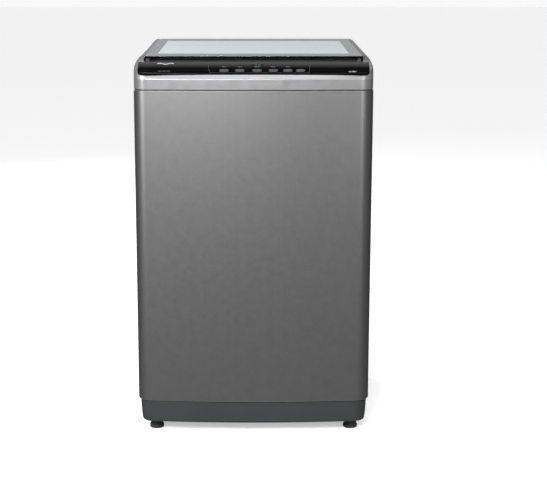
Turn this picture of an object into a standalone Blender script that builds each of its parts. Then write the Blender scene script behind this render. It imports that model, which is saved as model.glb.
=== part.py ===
"""Top load washing machine: cabinet, hinged lid, control panel, suspended tub and drive.

Metres, +Z up. The front faces -Y, the floor is z = 0 and the origin is at the middle of
the floor under the machine.
"""

import math

import bmesh
import bpy
from mathutils import Matrix, Vector

# Body
WIDTH = 0.550
FRONT = -0.286                 # middle of the bowed front
REAR = 0.271                   # rear face
BOW = 0.016                    # how far the front bulges past its corners
CORNER_RADIUS = 0.036          # upright corners at the front
REAR_RADIUS = 0.022            # upright corners at the rear
SHEET = 0.0008                 # cabinet sheet thickness
SHELL_REAR = REAR - 0.0013     # rear flanges of the cabinet, in front of the rear panel
FLANGE_EDGE = 0.226            # inner edges of those flanges
WALL = 0.003                   # moulded wall thickness
GAP = 0.0003                   # clearance between pieces that touch
RUNNING = 0.0004               # clearance round turning and sliding pieces

# Heights
BASE_BOTTOM = 0.0265
BASE_TOP = 0.0805
CABINET_BOTTOM = BASE_TOP + GAP
CABINET_TOP = 0.8142
COVER_BOTTOM = CABINET_TOP + GAP
CREASE = 0.8407                # where the cover's front face starts to lean back

# Sloping control panel: a plane rising to the rear
PANEL_FRONT = -0.276           # middle of the panel's front edge
PANEL_FRONT_Z = 0.851
PANEL_RISE = 0.5
PANEL_BACK = -0.2234
PANEL_HALF = 0.264
PANEL_BOW = 0.008
PANEL_THICK = 0.006
PANEL_CORNER = 0.012           # front corners
PANEL_ANGLE = math.atan(PANEL_RISE)
PANEL_UP = Vector((0.0, -math.sin(PANEL_ANGLE), math.cos(PANEL_ANGLE)))

# Lid: a shallow slope up to the rear, shared by the rim, the glass and the deck under them
LID_RISE = 0.056
LID_ANGLE = math.atan(LID_RISE)
LID_FRONT = -0.222
LID_TOP_Z = 0.890              # top of the glass at its front edge
LID_HALF = 0.252
LID_LENGTH = 0.465
GLASS_THICK = 0.005
FRAME_THICK = 0.012
FRAME_BAR = 0.028
RIM_DROP = 0.001               # rim below the glass face
DECK_DROP = 0.029              # deck below the glass face
RECESS_HALF = 0.2528
RECESS_BACK = 0.252
RECESS_FRONT_RADIUS = 0.004    # corners of the recess
RECESS_REAR_RADIUS = 0.003     # small, so the lid's square rear edge can swing down
HINGE_Y = 0.236
HINGE_Z = 0.9036
HINGE_PIN_RADIUS = 0.003

# Loading opening
AXIS_Y = -0.007                # upright axis of tub, basket and pulsator
THROAT_HALF = 0.175
THROAT_FRONT = -0.167
THROAT_BACK = 0.153
THROAT_RADIUS = 0.110
COLLAR_BOTTOM = 0.785

# Buttons: places across the panel, from its middle
BUTTONS = {
    "program_button": -0.067,
    "water_level_button": -0.031,
    "wash_time_button": 0.008,
    "delay_button": 0.045,
    "start_pause_button": 0.078,
    "power_button": 0.107,
}
BUTTON_LENGTH = 0.0215
BUTTON_WIDTH = 0.0105
BUTTON_ALONG = 0.0186          # up the slope from the panel's front edge
BUTTON_PROUD = 0.0008
BUTTON_DEPTH = 0.0050

# Display window
DISPLAY_X = 0.0095
DISPLAY_ALONG = 0.0417
DISPLAY_SIZE = (0.026, 0.012, 0.0026)

# Tub, basket and balance ring
TUB_RADIUS = 0.2525
TUB_BOTTOM = 0.300
TUB_TOP = 0.735
TUB_WALL = 0.004
BASKET_RADIUS = 0.231
BASKET_BOTTOM = 0.322
BASKET_WALL = 0.0012
RING_INNER = 0.188
RING_BOTTOM = 0.692
RING_TOP = 0.728

# Suspension
ROD_X = 0.215
ROD_Y = 0.200                  # from the tub's axis
ROD_RADIUS = 0.004
BRACKET_Z = 0.800
BRACKET_REACH = 0.095
LUG_BOTTOM = 0.335
LUG_TOP = 0.355
LUG_HOLE = 0.008
SPRING_BOTTOM = 0.250
SPRING_TURNS = 4
SPRING_RADIUS = 0.0125
SPRING_WIRE = 0.0016

# Drive
MOTOR_X = 0.140
MOTOR_Y = 0.050
MOTOR_RADIUS = 0.058
DRIVE_GROOVE = 0.070
MOTOR_GROOVE = 0.023
FLANGE_DEPTH = 0.005
BELT_LOW = 0.177
BELT_HIGH = 0.187
BELT_THICK = 0.0045

# Feet
FOOT_X = 0.234
FRONT_FOOT_Y = -0.222
REAR_FOOT_Y = 0.225
FOOT_RADIUS = 0.017
STEM_RADIUS = 0.005
STEM_TOP = 0.062

# Rear connections
VALVE_X = 0.160
VALVE_Z = 0.848
GLAND_X = -0.200
GLAND_Z = 0.842
DRAIN_X = -0.180
DRAIN_Z = 0.130
OUTER_REAR = 0.286             # ends of the connections

# Detergent drawer
DRAWER_HALF = 0.074
DRAWER_BACK = 0.240
DRAWER_LOW = 0.836
DRAWER_HIGH = 0.869
HOUSING_HALF = 0.080
HOUSING_LOW = 0.832
HOUSING_HIGH = 0.8745

# Colour, roughness, metallic
FINISHES = {
    "cabinet_paint": ((0.118, 0.122, 0.127), 0.38, 0.65),
    "silver_plastic": ((0.42, 0.42, 0.43), 0.35, 0.45),
    "black_panel": ((0.006, 0.006, 0.007), 0.12, 0.0),
    "base_plastic": ((0.052, 0.054, 0.056), 0.55, 0.0),
    "glass": ((0.55, 0.60, 0.62), 0.08, 0.0),
    "dark_plastic": ((0.018, 0.020, 0.021), 0.45, 0.0),
    "button_plastic": ((0.30, 0.31, 0.32), 0.30, 0.0),
    "display": ((0.010, 0.014, 0.018), 0.10, 0.0),
    "white_plastic": ((0.72, 0.73, 0.73), 0.40, 0.0),
    "tub_plastic": ((0.55, 0.57, 0.58), 0.45, 0.0),
    "stainless": ((0.55, 0.56, 0.57), 0.28, 1.0),
    "zinc_steel": ((0.42, 0.43, 0.44), 0.40, 1.0),
    "chrome": ((0.75, 0.76, 0.78), 0.10, 1.0),
    "aluminium": ((0.60, 0.61, 0.62), 0.40, 1.0),
    "motor_black": ((0.030, 0.031, 0.034), 0.50, 0.2),
    "rubber": ((0.015, 0.015, 0.016), 0.75, 0.0),
}


# ------------------------------------------------------------------ scene and objects

def clear_scene():
    for item in list(bpy.data.objects):
        bpy.data.objects.remove(item, do_unlink=True)


def new_collection(name):
    group = bpy.data.collections.new(name)
    bpy.context.scene.collection.children.link(group)
    return group


def finish(obj, slot):
    """Give an object its material."""
    material = bpy.data.materials.get(slot)
    if material is None:
        colour, roughness, metallic = FINISHES[slot]
        material = bpy.data.materials.new(slot)
        material.use_nodes = True
        shader = material.node_tree.nodes["Principled BSDF"]
        shader.inputs["Base Color"].default_value = (*colour, 1.0)
        shader.inputs["Roughness"].default_value = roughness
        shader.inputs["Metallic"].default_value = metallic
    obj.data.materials.clear()
    obj.data.materials.append(material)
    return obj


def add_object(name, data):
    obj = bpy.data.objects.new(name, data)
    PARTS.objects.link(obj)
    return obj


def from_bmesh(name, work):
    bmesh.ops.recalc_face_normals(work, faces=work.faces)
    mesh = bpy.data.meshes.new(name)
    work.to_mesh(mesh)
    work.free()
    return add_object(name, mesh)


def set_origin(obj, point):
    """Move the object's origin, and not its shape, to a point of the model."""
    place = Matrix.Translation(Vector(point))
    obj.data.transform(place.inverted() @ obj.matrix_world)
    obj.matrix_world = place
    return obj


def smooth(obj, degrees=35.0):
    obj.data.shade_smooth()
    obj.data.set_sharp_from_angle(angle=math.radians(degrees))
    return obj


def boolean(target, tool, operation):
    """Cut, join or keep the common part, and put the tool away as a wire guide."""
    step = target.modifiers.new(operation.lower() + "_" + tool.name, "BOOLEAN")
    step.operation = operation
    step.solver = "EXACT"
    step.object = tool
    if tool.name not in TOOLS.objects:
        PARTS.objects.unlink(tool)
        TOOLS.objects.link(tool)
    tool.hide_render = True
    tool.display_type = "WIRE"


def cut(target, *tools):
    for tool in tools:
        boolean(target, tool, "DIFFERENCE")


def join(target, *tools):
    for tool in tools:
        boolean(target, tool, "UNION")


# ------------------------------------------------------------------------ basic shapes

def box(name, low, high, bevel=0.0):
    """Block between two corners, with rounded edges where a bevel is given."""
    work = bmesh.new()
    bmesh.ops.create_cube(work, size=1.0)
    size = Vector(high) - Vector(low)
    middle = (Vector(high) + Vector(low)) / 2
    bmesh.ops.scale(work, vec=size, verts=work.verts)
    bmesh.ops.translate(work, vec=middle, verts=work.verts)
    obj = from_bmesh(name, work)
    if bevel:
        step = obj.modifiers.new("edges", "BEVEL")
        step.width = bevel
        step.segments = 2
    return obj


def cylinder(name, radius, start, end, segments=20):
    """Round bar between two points."""
    start = Vector(start)
    end = Vector(end)
    work = bmesh.new()
    bmesh.ops.create_cone(
        work, cap_ends=True, segments=segments, radius1=radius, radius2=radius,
        depth=(end - start).length)
    turn = (end - start).to_track_quat("Z", "Y").to_matrix().to_4x4()
    place = Matrix.Translation((start + end) / 2) @ turn
    bmesh.ops.transform(work, matrix=place, verts=work.verts)
    return from_bmesh(name, work)


def plate(name, outlines, low, high):
    """Flat piece between two heights: the first outline, less any others inside it."""
    data = bpy.data.curves.new(name, "CURVE")
    data.dimensions = "2D"
    data.fill_mode = "BOTH"
    data.extrude = (high - low) / 2
    for points in outlines:
        line = data.splines.new("POLY")
        line.points.add(len(points) - 1)
        for item, (x, y) in zip(line.points, points):
            item.co = (x, y, 0.0, 1.0)
        line.use_cyclic_u = True
    drawn = add_object(name + "_outline", data)
    drawn.location.z = (low + high) / 2
    bpy.context.view_layer.update()
    graph = bpy.context.evaluated_depsgraph_get()
    mesh = bpy.data.meshes.new_from_object(drawn.evaluated_get(graph))
    mesh.transform(drawn.matrix_world)
    bpy.data.objects.remove(drawn)
    work = bmesh.new()
    work.from_mesh(mesh)
    bpy.data.meshes.remove(mesh)
    bmesh.ops.remove_doubles(work, verts=work.verts, dist=0.000005)
    bmesh.ops.dissolve_limit(
        work, angle_limit=0.001, verts=work.verts, edges=work.edges)
    return from_bmesh(name, work)


def turned(name, profile, centre=(0.0, AXIS_Y), steps=48, closed=True):
    """Turned piece: the profile runs down its outer side, and back up inside if closed."""
    count = len(profile)
    edges = [(i, i + 1) for i in range(count - 1)]
    if closed:
        edges.append((count - 1, 0))
    mesh = bpy.data.meshes.new(name)
    mesh.from_pydata([(r, 0.0, z) for r, z in profile], edges, [])
    obj = add_object(name, mesh)
    obj.location = (centre[0], centre[1], 0.0)
    step = obj.modifiers.new("turn", "SCREW")
    step.angle = 2 * math.pi
    step.steps = steps
    step.render_steps = steps
    step.use_merge_vertices = True
    step.merge_threshold = 0.00001
    step.use_smooth_shade = True
    return obj


def loft(name, rings):
    """Closed skin through a stack of rings that have the same number of points."""
    work = bmesh.new()
    loops = []
    for ring in rings:
        loops.append([work.verts.new(point) for point in ring])
    count = len(loops[0])
    for lower, upper in zip(loops, loops[1:]):
        for i in range(count):
            j = (i + 1) % count
            work.faces.new((lower[i], lower[j], upper[j], upper[i]))
    work.faces.new(list(reversed(loops[0])))
    work.faces.new(loops[-1])
    return from_bmesh(name, work)


def trim(obj, point, normal):
    """Cut away what lies on the side of a plane that its normal points to."""
    work = bmesh.new()
    work.from_mesh(obj.data)
    everything = work.verts[:] + work.edges[:] + work.faces[:]
    bmesh.ops.bisect_plane(
        work, geom=everything, dist=0.0000005, plane_co=point, plane_no=normal,
        clear_outer=True)
    rim = [edge for edge in work.edges if edge.is_boundary]
    bmesh.ops.holes_fill(work, edges=rim, sides=0)
    bmesh.ops.recalc_face_normals(work, faces=work.faces)
    work.to_mesh(obj.data)
    work.free()
    return obj


# ---------------------------------------------------------------------------- outlines

def arc(centre, radius, start, end, steps):
    """Points (x, y, nx, ny) along an arc, with angles in radians."""
    points = []
    for i in range(steps + 1):
        angle = start + (end - start) * i / steps
        nx = math.cos(angle)
        ny = math.sin(angle)
        points.append((centre[0] + radius * nx, centre[1] + radius * ny, nx, ny))
    return points


def body_points(inset=0.0, rear=REAR):
    """Body outline seen from above, anticlockwise from the rear left, with normals."""
    half = WIDTH / 2
    front_radius = (half ** 2 + BOW ** 2) / (2 * BOW)
    corner = max(CORNER_RADIUS - inset, 0.004)
    reach = front_radius - inset - corner
    corner_x = half - inset - corner
    corner_y = FRONT + front_radius - math.sqrt(reach ** 2 - corner_x ** 2)
    lean = math.asin(corner_x / reach)
    down = 1.5 * math.pi
    back = max(REAR_RADIUS - inset, 0.004)
    back_x = half - inset - back
    back_y = rear - inset - back
    points = arc((-back_x, back_y), back, 0.5 * math.pi, math.pi, 4)
    points += arc((-corner_x, corner_y), corner, math.pi, down - lean, 6)
    points += arc((0.0, FRONT + front_radius), front_radius - inset,
                  down - lean, down + lean, 14)[1:-1]
    points += arc((corner_x, corner_y), corner, down + lean, 2 * math.pi, 6)
    points += arc((back_x, back_y), back, 0.0, 0.5 * math.pi, 4)
    return points


def body_outline(inset=0.0, rear=REAR):
    return [(x, y) for x, y, nx, ny in body_points(inset, rear)]


def rounded(x_low, x_high, y_low, y_high, front, back, steps=6):
    """Rectangle with one corner radius at its front and another at its back."""
    half_turn = math.pi
    quarter = 0.5 * math.pi
    points = arc((x_low + back, y_high - back), back, quarter, half_turn, steps)
    points += arc((x_low + front, y_low + front), front, half_turn, 3 * quarter, steps)
    points += arc((x_high - front, y_low + front), front, 3 * quarter, 4 * quarter, steps)
    points += arc((x_high - back, y_high - back), back, 0.0, quarter, steps)
    return [(x, y) for x, y, nx, ny in points]


def stadium(length, width, steps=6):
    """Slot outline with round ends, centred on the origin."""
    radius = width / 2
    reach = length / 2 - radius
    quarter = 0.5 * math.pi
    points = arc((reach, 0.0), radius, -quarter, quarter, steps)
    points += arc((-reach, 0.0), radius, quarter, 3 * quarter, steps)
    return [(x, y) for x, y, nx, ny in points]


def stadium_box(length, width):
    """Rectangle with small round corners, centred on the origin."""
    return rounded(-length / 2, length / 2, -width / 2, width / 2, 0.0015, 0.0015, 3)


def panel_front_edge(x):
    """How far forward the panel's bowed front edge is, at a place across it."""
    radius = (PANEL_HALF ** 2 + PANEL_BOW ** 2) / (2 * PANEL_BOW)
    return PANEL_FRONT + radius - math.sqrt(radius ** 2 - x ** 2)


def panel_outline(grow=0.0):
    """Control panel seen from above: bowed front, rounded front corners, straight back."""
    half = PANEL_HALF + grow
    corner = PANEL_CORNER
    points = [(-half, PANEL_BACK), (half, PANEL_BACK)]
    edge = panel_front_edge(half - corner) - grow
    points += [(half, edge + corner)]
    points += [(x, y) for x, y, nx, ny in reversed(
        arc((half - corner, edge + corner), corner, 1.5 * math.pi, 2 * math.pi, 5))][1:]
    count = 12
    for i in range(1, count):
        x = (half - corner) * (1 - 2 * i / count)
        points.append((x, panel_front_edge(x) - grow))
    points += [(x, y) for x, y, nx, ny in reversed(
        arc((-half + corner, edge + corner), corner, math.pi, 1.5 * math.pi, 5))]
    return points


def throat_outline(grow):
    return rounded(
        -THROAT_HALF - grow, THROAT_HALF + grow, THROAT_FRONT - grow, THROAT_BACK + grow,
        THROAT_RADIUS + grow, THROAT_RADIUS + grow, 8)


def circle_outline(centre, radius, steps):
    points = arc(centre, radius, 0.0, 2 * math.pi, steps)
    return [(x, y) for x, y, nx, ny in points[:-1]]


def tangent_outline(first, first_radius, second, second_radius, steps):
    """Outline of a band pulled tight round two circles."""
    along = math.atan2(second[1] - first[1], second[0] - first[0])
    distance = math.hypot(second[0] - first[0], second[1] - first[1])
    open_angle = math.acos((first_radius - second_radius) / distance)
    points = arc(second, second_radius, along - open_angle, along + open_angle, steps)
    points += arc(first, first_radius, along + open_angle,
                  along + 2 * math.pi - open_angle, 2 * steps)
    return [(x, y) for x, y, nx, ny in points]


def glass_height(y):
    return LID_TOP_Z + (y - LID_FRONT) * LID_RISE


# ----------------------------------------------------------------------- placing guides

def lean_back(obj, angle, x, y, z):
    """Turn a flat piece to a slope that rises to the rear, and set its place."""
    obj.matrix_world = Matrix.Translation((x, y, z)) @ Matrix.Rotation(angle, 4, "X")
    return obj


def panel_point(x, along, height):
    """Point on the control panel: across, up its slope from the front edge, and above it."""
    base = Vector((x, PANEL_FRONT, PANEL_FRONT_Z))
    slope = Vector((0.0, math.cos(PANEL_ANGLE), math.sin(PANEL_ANGLE)))
    return base + slope * along + PANEL_UP * height


def on_panel(name, outline, x, along, low, high):
    """Upright-sided piece on the panel's slope, between two heights above its face."""
    obj = plate(name, [outline], low, high)
    return lean_back(obj, PANEL_ANGLE, *panel_point(x, along, 0.0))


def lid_plane(drop):
    return Vector((0.0, LID_FRONT, LID_TOP_Z - drop)), Vector((0.0, -LID_RISE, 1.0))


# ----------------------------------------------------------------------------- cabinet

def build_cabinet():
    """Painted wrap with rear flanges, and the zinc plated panel that closes it."""
    outer = body_outline(0.0, SHELL_REAR)
    inner = body_outline(SHEET, SHELL_REAR)
    ends = [(-FLANGE_EDGE, outer[0][1]), (FLANGE_EDGE, outer[-1][1])]
    inner_ends = [(FLANGE_EDGE, inner[-1][1]), (-FLANGE_EDGE, inner[0][1])]
    band = [ends[0]] + outer + [ends[1], inner_ends[0]] + inner[::-1] + [inner_ends[1]]
    shell = plate("cabinet_shell", [band], CABINET_BOTTOM, CABINET_TOP)
    finish(smooth(shell, 25.0), "cabinet_paint")

    rear = box("rear_panel", (-0.255, REAR - 0.001, CABINET_BOTTOM),
               (0.255, REAR, CABINET_TOP))
    hole = cylinder("drain_hole", 0.0175, (DRAIN_X, REAR - 0.02, DRAIN_Z),
                    (DRAIN_X, REAR + 0.02, DRAIN_Z))
    cut(rear, hole)
    finish(rear, "zinc_steel")


def edge_depth(x, end):
    """Where the inner face of the front or the rear is, at a place across the machine."""
    if end > 0:
        return SHELL_REAR - SHEET - GAP
    half = WIDTH / 2
    radius = (half ** 2 + BOW ** 2) / (2 * BOW)
    inside = radius - SHEET - GAP
    return FRONT + radius - math.sqrt(inside ** 2 - x ** 2)


def build_corner_bracket(side, end, name):
    """Gusset across an upper corner of the cabinet, with the seat that a rod hangs in."""
    inset = SHEET + GAP
    wall_x = WIDTH / 2 - inset
    outline = [(wall_x * side, end * BRACKET_REACH)]
    edge = []
    for x, y in body_outline(inset, SHELL_REAR):
        if x * side >= BRACKET_REACH and y * end >= BRACKET_REACH:
            edge.append((x, y))
    outline += edge if side == end else edge[::-1]
    outline.append((side * BRACKET_REACH, edge_depth(side * BRACKET_REACH, end)))
    bracket = plate(name, [outline], BRACKET_Z, BRACKET_Z + 0.003)
    rod_y = AXIS_Y + end * ROD_Y
    seat = cylinder(name + "_seat", 0.018, (side * ROD_X, rod_y, BRACKET_Z - 0.010),
                    (side * ROD_X, rod_y, BRACKET_Z + 0.001), 20)
    hole = cylinder(name + "_hole", ROD_RADIUS + 0.0015,
                    (side * ROD_X, rod_y, BRACKET_Z - 0.02),
                    (side * ROD_X, rod_y, BRACKET_Z + 0.02), 16)
    join(bracket, seat)
    cut(bracket, hole)
    return finish(bracket, "zinc_steel")


def build_rods():
    """Four hanging rods with their springs, one at each corner."""
    for side, across in ((-1, "left"), (1, "right")):
        for end, depth in ((-1, "front"), (1, "rear")):
            place = depth + "_" + across
            centre = (side * ROD_X, AXIS_Y + end * ROD_Y)
            build_corner_bracket(side, end, "corner_bracket_" + place)
            top = BRACKET_Z + 0.003 + GAP
            profile = [
                (0.0, top + 0.009), (0.006, top + 0.008), (0.010, top + 0.004),
                (0.011, top), (ROD_RADIUS, top), (ROD_RADIUS, SPRING_BOTTOM),
                (0.017, SPRING_BOTTOM), (0.017, SPRING_BOTTOM - 0.006),
                (0.0, SPRING_BOTTOM - 0.006)]
            rod = turned("suspension_rod_" + place, profile, centre, 16, closed=False)
            finish(rod, "zinc_steel")
            build_spring("suspension_spring_" + place, centre)


def build_spring(name, centre):
    low = SPRING_BOTTOM + SPRING_WIRE + GAP
    high = LUG_BOTTOM - SPRING_WIRE - GAP
    per_turn = 9
    count = SPRING_TURNS * per_turn + 1
    data = bpy.data.curves.new(name, "CURVE")
    data.dimensions = "3D"
    data.bevel_depth = SPRING_WIRE
    data.bevel_resolution = 2
    data.use_fill_caps = True
    line = data.splines.new("POLY")
    line.points.add(count - 1)
    for i, item in enumerate(line.points):
        part = i / (count - 1)
        angle = 2 * math.pi * SPRING_TURNS * part
        item.co = (SPRING_RADIUS * math.cos(angle), SPRING_RADIUS * math.sin(angle),
                   low + (high - low) * part, 1.0)
    spring = add_object(name, data)
    spring.location = (centre[0], centre[1], 0.0)
    finish(spring, "zinc_steel")


def feet_places():
    return [(side * FOOT_X, y) for side in (-1, 1) for y in (FRONT_FOOT_Y, REAR_FOOT_Y)]


def build_base():
    """Plinth: a ring with an open middle, hollow underneath, with a boss for each foot."""
    rings = []
    for z, inset in ((BASE_BOTTOM, 0.012), (0.0285, 0.0095), (0.0340, 0.0078),
                     (0.0500, 0.0062), (BASE_TOP, 0.0045)):
        rings.append([(x, y, z) for x, y in body_outline(inset)])
    base = loft("base_frame", rings)
    hole = plate("base_hole", [body_outline(0.045)], 0.0, 0.1)
    groove = plate("base_groove", [body_outline(0.012), body_outline(0.042)],
                   0.0, BASE_TOP - 0.004)
    cut(base, hole, groove)
    for x, y in feet_places():
        boss = cylinder("foot_boss", 0.019, (x, y, BASE_BOTTOM), (x, y, BASE_TOP - 0.001))
        join(base, boss)
    for x, y in feet_places():
        bore = cylinder("foot_bore", STEM_RADIUS + RUNNING, (x, y, 0.0), (x, y, 0.076), 16)
        cut(base, bore)
    finish(smooth(base), "base_plastic")


def build_feet():
    """Screw-in feet at the front, with a hexagon to turn, and fixed ones at the rear."""
    for side, across in ((-1, "left"), (1, "right")):
        profile = [
            (0.0, STEM_TOP), (STEM_RADIUS - 0.001, STEM_TOP),
            (STEM_RADIUS, STEM_TOP - 0.001), (STEM_RADIUS, 0.012),
            (0.014, 0.012), (FOOT_RADIUS, 0.009), (FOOT_RADIUS, 0.001),
            (FOOT_RADIUS - 0.001, 0.0), (0.0, 0.0)]
        centre = (side * FOOT_X, FRONT_FOOT_Y)
        foot = turned("front_foot_" + across, profile, centre, 20, closed=False)
        hexagon = cylinder("foot_hexagon", 0.0165, (*centre, 0.0115), (*centre, 0.0220), 6)
        join(foot, hexagon)
        finish(foot, "rubber")

        profile = [
            (0.0, STEM_TOP), (STEM_RADIUS, STEM_TOP), (STEM_RADIUS, BASE_BOTTOM - GAP),
            (0.013, BASE_BOTTOM - GAP), (0.015, 0.012), (FOOT_RADIUS, 0.008),
            (FOOT_RADIUS, 0.001), (FOOT_RADIUS - 0.001, 0.0), (0.0, 0.0)]
        rear = turned("rear_foot_" + across, profile, (side * FOOT_X, REAR_FOOT_Y), 20,
                      closed=False)
        finish(rear, "rubber")


# ------------------------------------------------------------------- top cover and panel

def cover_ring(edge, roll, height):
    """One level of the cover: inset by edge, rolled in by roll, at height(y, front)."""
    ring = []
    for x, y, nx, ny in body_points():
        front = max(0.0, -ny)
        lean = front ** 2 * (0.0115 - 0.0075 * (x / (WIDTH / 2)) ** 2)
        inset = 0.0008 + edge * lean
        inset += roll * (0.019 * nx * nx + 0.006 * max(0.0, ny) ** 2 + 0.019 * front ** 2)
        px = x - nx * inset
        py = y - ny * inset
        ring.append((px, py, height(py, front)))
    return ring


def rim_height(y):
    return glass_height(y) - RIM_DROP


def build_cover():
    """Moulded top: outer body, lid recess, panel pocket, hollow underside and collar."""
    roll_height = 0.032
    rings = [
        cover_ring(0.0, 0.0, lambda y, front: COVER_BOTTOM),
        cover_ring(0.0, 0.0, lambda y, front: CREASE),
        cover_ring(1.0, 0.0, lambda y, front: 0.8530)]
    for step in range(6):
        angle = 0.5 * math.pi * step / 5
        rise = roll_height * math.sin(angle)
        roll = 1 - math.cos(angle)
        rings.append(cover_ring(
            1.0, roll, lambda y, front, rise=rise: rim_height(y) - roll_height + rise + 0.001))
    cover = loft("top_cover", rings)
    trim(cover, *lid_plane(RIM_DROP))

    slope = box("panel_slope_cut", (-0.4, -0.15, 0.0), (0.4, 0.25, 0.2))
    lean_back(slope, PANEL_ANGLE, 0.0, PANEL_FRONT, PANEL_FRONT_Z)

    recess = plate("lid_recess", [rounded(
        -RECESS_HALF, RECESS_HALF, PANEL_BACK, RECESS_BACK, RECESS_FRONT_RADIUS,
        RECESS_REAR_RADIUS)], 0.80, 1.0)
    point, normal = lid_plane(DECK_DROP)
    trim(recess, point, -normal)

    pocket = plate("panel_pocket", [panel_outline(GAP)], 0.80, 1.0)
    trim(pocket, panel_point(0.0, 0.0, -PANEL_THICK - GAP), -PANEL_UP)
    back = box("pocket_back", (-PANEL_HALF - GAP, PANEL_BACK - 0.001, 0.84),
               (PANEL_HALF + GAP, PANEL_BACK + GAP, 0.9))
    trim(back, panel_point(0.0, 0.0, -PANEL_THICK - GAP), -PANEL_UP)

    hollow = plate("cover_hollow", [body_outline(0.004)], 0.78, 1.0)
    trim(hollow, *lid_plane(DECK_DROP + WALL))
    trim(hollow, panel_point(0.0, 0.0, -PANEL_THICK - GAP - WALL), PANEL_UP)

    collar = plate("collar", [throat_outline(WALL)], COLLAR_BOTTOM, 0.95)
    trim(collar, *lid_plane(DECK_DROP + 0.001))
    throat = plate("throat", [throat_outline(0.0)], 0.75, 1.0)
    window = box("drawer_window", (-0.0755, THROAT_BACK - 0.030, DRAWER_LOW - 0.002),
                 (0.0755, THROAT_BACK + 0.010, DRAWER_HIGH + 0.0025))
    button_window = plate("button_window", [[
        (-0.100, 0.008), (0.135, 0.008), (0.135, 0.052), (-0.100, 0.052)]], -0.03, 0.01)
    lean_back(button_window, PANEL_ANGLE, *panel_point(0.0, 0.0, 0.0))

    valve_hole = cylinder("valve_hole", 0.0135, (VALVE_X, 0.255, VALVE_Z),
                          (VALVE_X, 0.300, VALVE_Z))
    gland_hole = cylinder("gland_hole", 0.0085, (GLAND_X, 0.255, GLAND_Z),
                          (GLAND_X, 0.300, GLAND_Z))
    cut(cover, slope, recess, pocket, back, hollow)
    join(cover, collar)
    cut(cover, throat, window, button_window, valve_hole, gland_hole)
    for side in (-1, 1):
        bore = cylinder("hinge_bore", HINGE_PIN_RADIUS + GAP,
                        (side * 0.245, HINGE_Y, HINGE_Z), (side * 0.264, HINGE_Y, HINGE_Z), 16)
        cut(cover, bore)
    finish(smooth(cover, 30.0), "silver_plastic")


def build_panel():
    """Gloss panel with its buttons, display window and the electronics box behind it."""
    panel = plate("control_panel", [panel_outline()], 0.80, 0.95)
    trim(panel, panel_point(0.0, 0.0, 0.0), PANEL_UP)
    trim(panel, panel_point(0.0, 0.0, -PANEL_THICK), -PANEL_UP)
    for name, x in BUTTONS.items():
        outline = stadium(BUTTON_LENGTH + 2 * RUNNING, BUTTON_WIDTH + 2 * RUNNING)
        cut(panel, on_panel(name + "_hole", outline, x, BUTTON_ALONG, -0.02, 0.02))
        button = on_panel(name, stadium(BUTTON_LENGTH, BUTTON_WIDTH), x, BUTTON_ALONG,
                          -BUTTON_DEPTH, BUTTON_PROUD)
        finish(button, "button_plastic")
    length, width, thick = DISPLAY_SIZE
    slot = stadium_box(length + 2 * GAP, width + 2 * GAP)
    cut(panel, on_panel("display_slot", slot, DISPLAY_X, DISPLAY_ALONG,
                        -thick - GAP, 0.02))
    display = on_panel("display_window", stadium_box(length, width), DISPLAY_X,
                       DISPLAY_ALONG, -thick, 0.0)
    finish(display, "display")
    finish(smooth(panel), "black_panel")

    electronics = box("control_box", (-0.140, -0.255, 0.826), (0.140, -0.185, 0.847), 0.003)
    finish(electronics, "dark_plastic")


# --------------------------------------------------------------------------------- lid

def build_lid():
    """Glass on a moulded frame. Both turn on pins at the rear corners."""
    glass_low = LID_TOP_Z - GLASS_THICK
    glass = plate("lid_glass", [rounded(
        -LID_HALF, LID_HALF, 0.0, LID_LENGTH, 0.008, 0.018)], 0.0, GLASS_THICK)
    lean_back(glass, LID_ANGLE, 0.0, LID_FRONT, glass_low)
    finish(set_origin(glass, (0.0, HINGE_Y, HINGE_Z)), "glass")

    half = LID_HALF - 0.004
    start = 0.022
    stop = LID_LENGTH - 0.001
    frame = plate("lid_frame", [
        rounded(-half, half, start, stop, 0.010, 0.014),
        rounded(-half + FRAME_BAR, half - FRAME_BAR, start + FRAME_BAR,
                stop - FRAME_BAR - 0.010, 0.012, 0.012)],
        -FRAME_THICK - GAP, -GAP)
    lean_back(frame, LID_ANGLE, 0.0, LID_FRONT, glass_low)
    set_origin(frame, (0.0, HINGE_Y, HINGE_Z))
    for side, across in ((-1, "left"), (1, "right")):
        bore = cylinder("frame_bore", HINGE_PIN_RADIUS + RUNNING,
                        (side * 0.232, HINGE_Y, HINGE_Z), (side * 0.26, HINGE_Y, HINGE_Z), 16)
        cut(frame, bore)
        pin = cylinder("hinge_pin_" + across, HINGE_PIN_RADIUS,
                       (side * 0.2335, HINGE_Y, HINGE_Z),
                       (side * 0.2635, HINGE_Y, HINGE_Z), 16)
        finish(smooth(pin), "zinc_steel")
        x = side * 0.244
        y = -0.212
        low = glass_height(y) - DECK_DROP + 0.0008
        high = glass_height(y) - GLASS_THICK - 0.0008
        bumper = box("lid_bumper_" + across, (x - 0.004, y - 0.005, low),
                     (x + 0.004, y + 0.005, high), 0.0012)
        finish(bumper, "rubber")
    finish(frame, "dark_plastic")

    switch_y = 0.180
    low = glass_height(switch_y) - DECK_DROP + 0.0010
    switch = box("lid_switch", (0.216, switch_y - 0.012, low),
                 (0.234, switch_y + 0.012, low + 0.008), 0.001)
    finish(switch, "white_plastic")


# ---------------------------------------------------------------- water and connections

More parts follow.
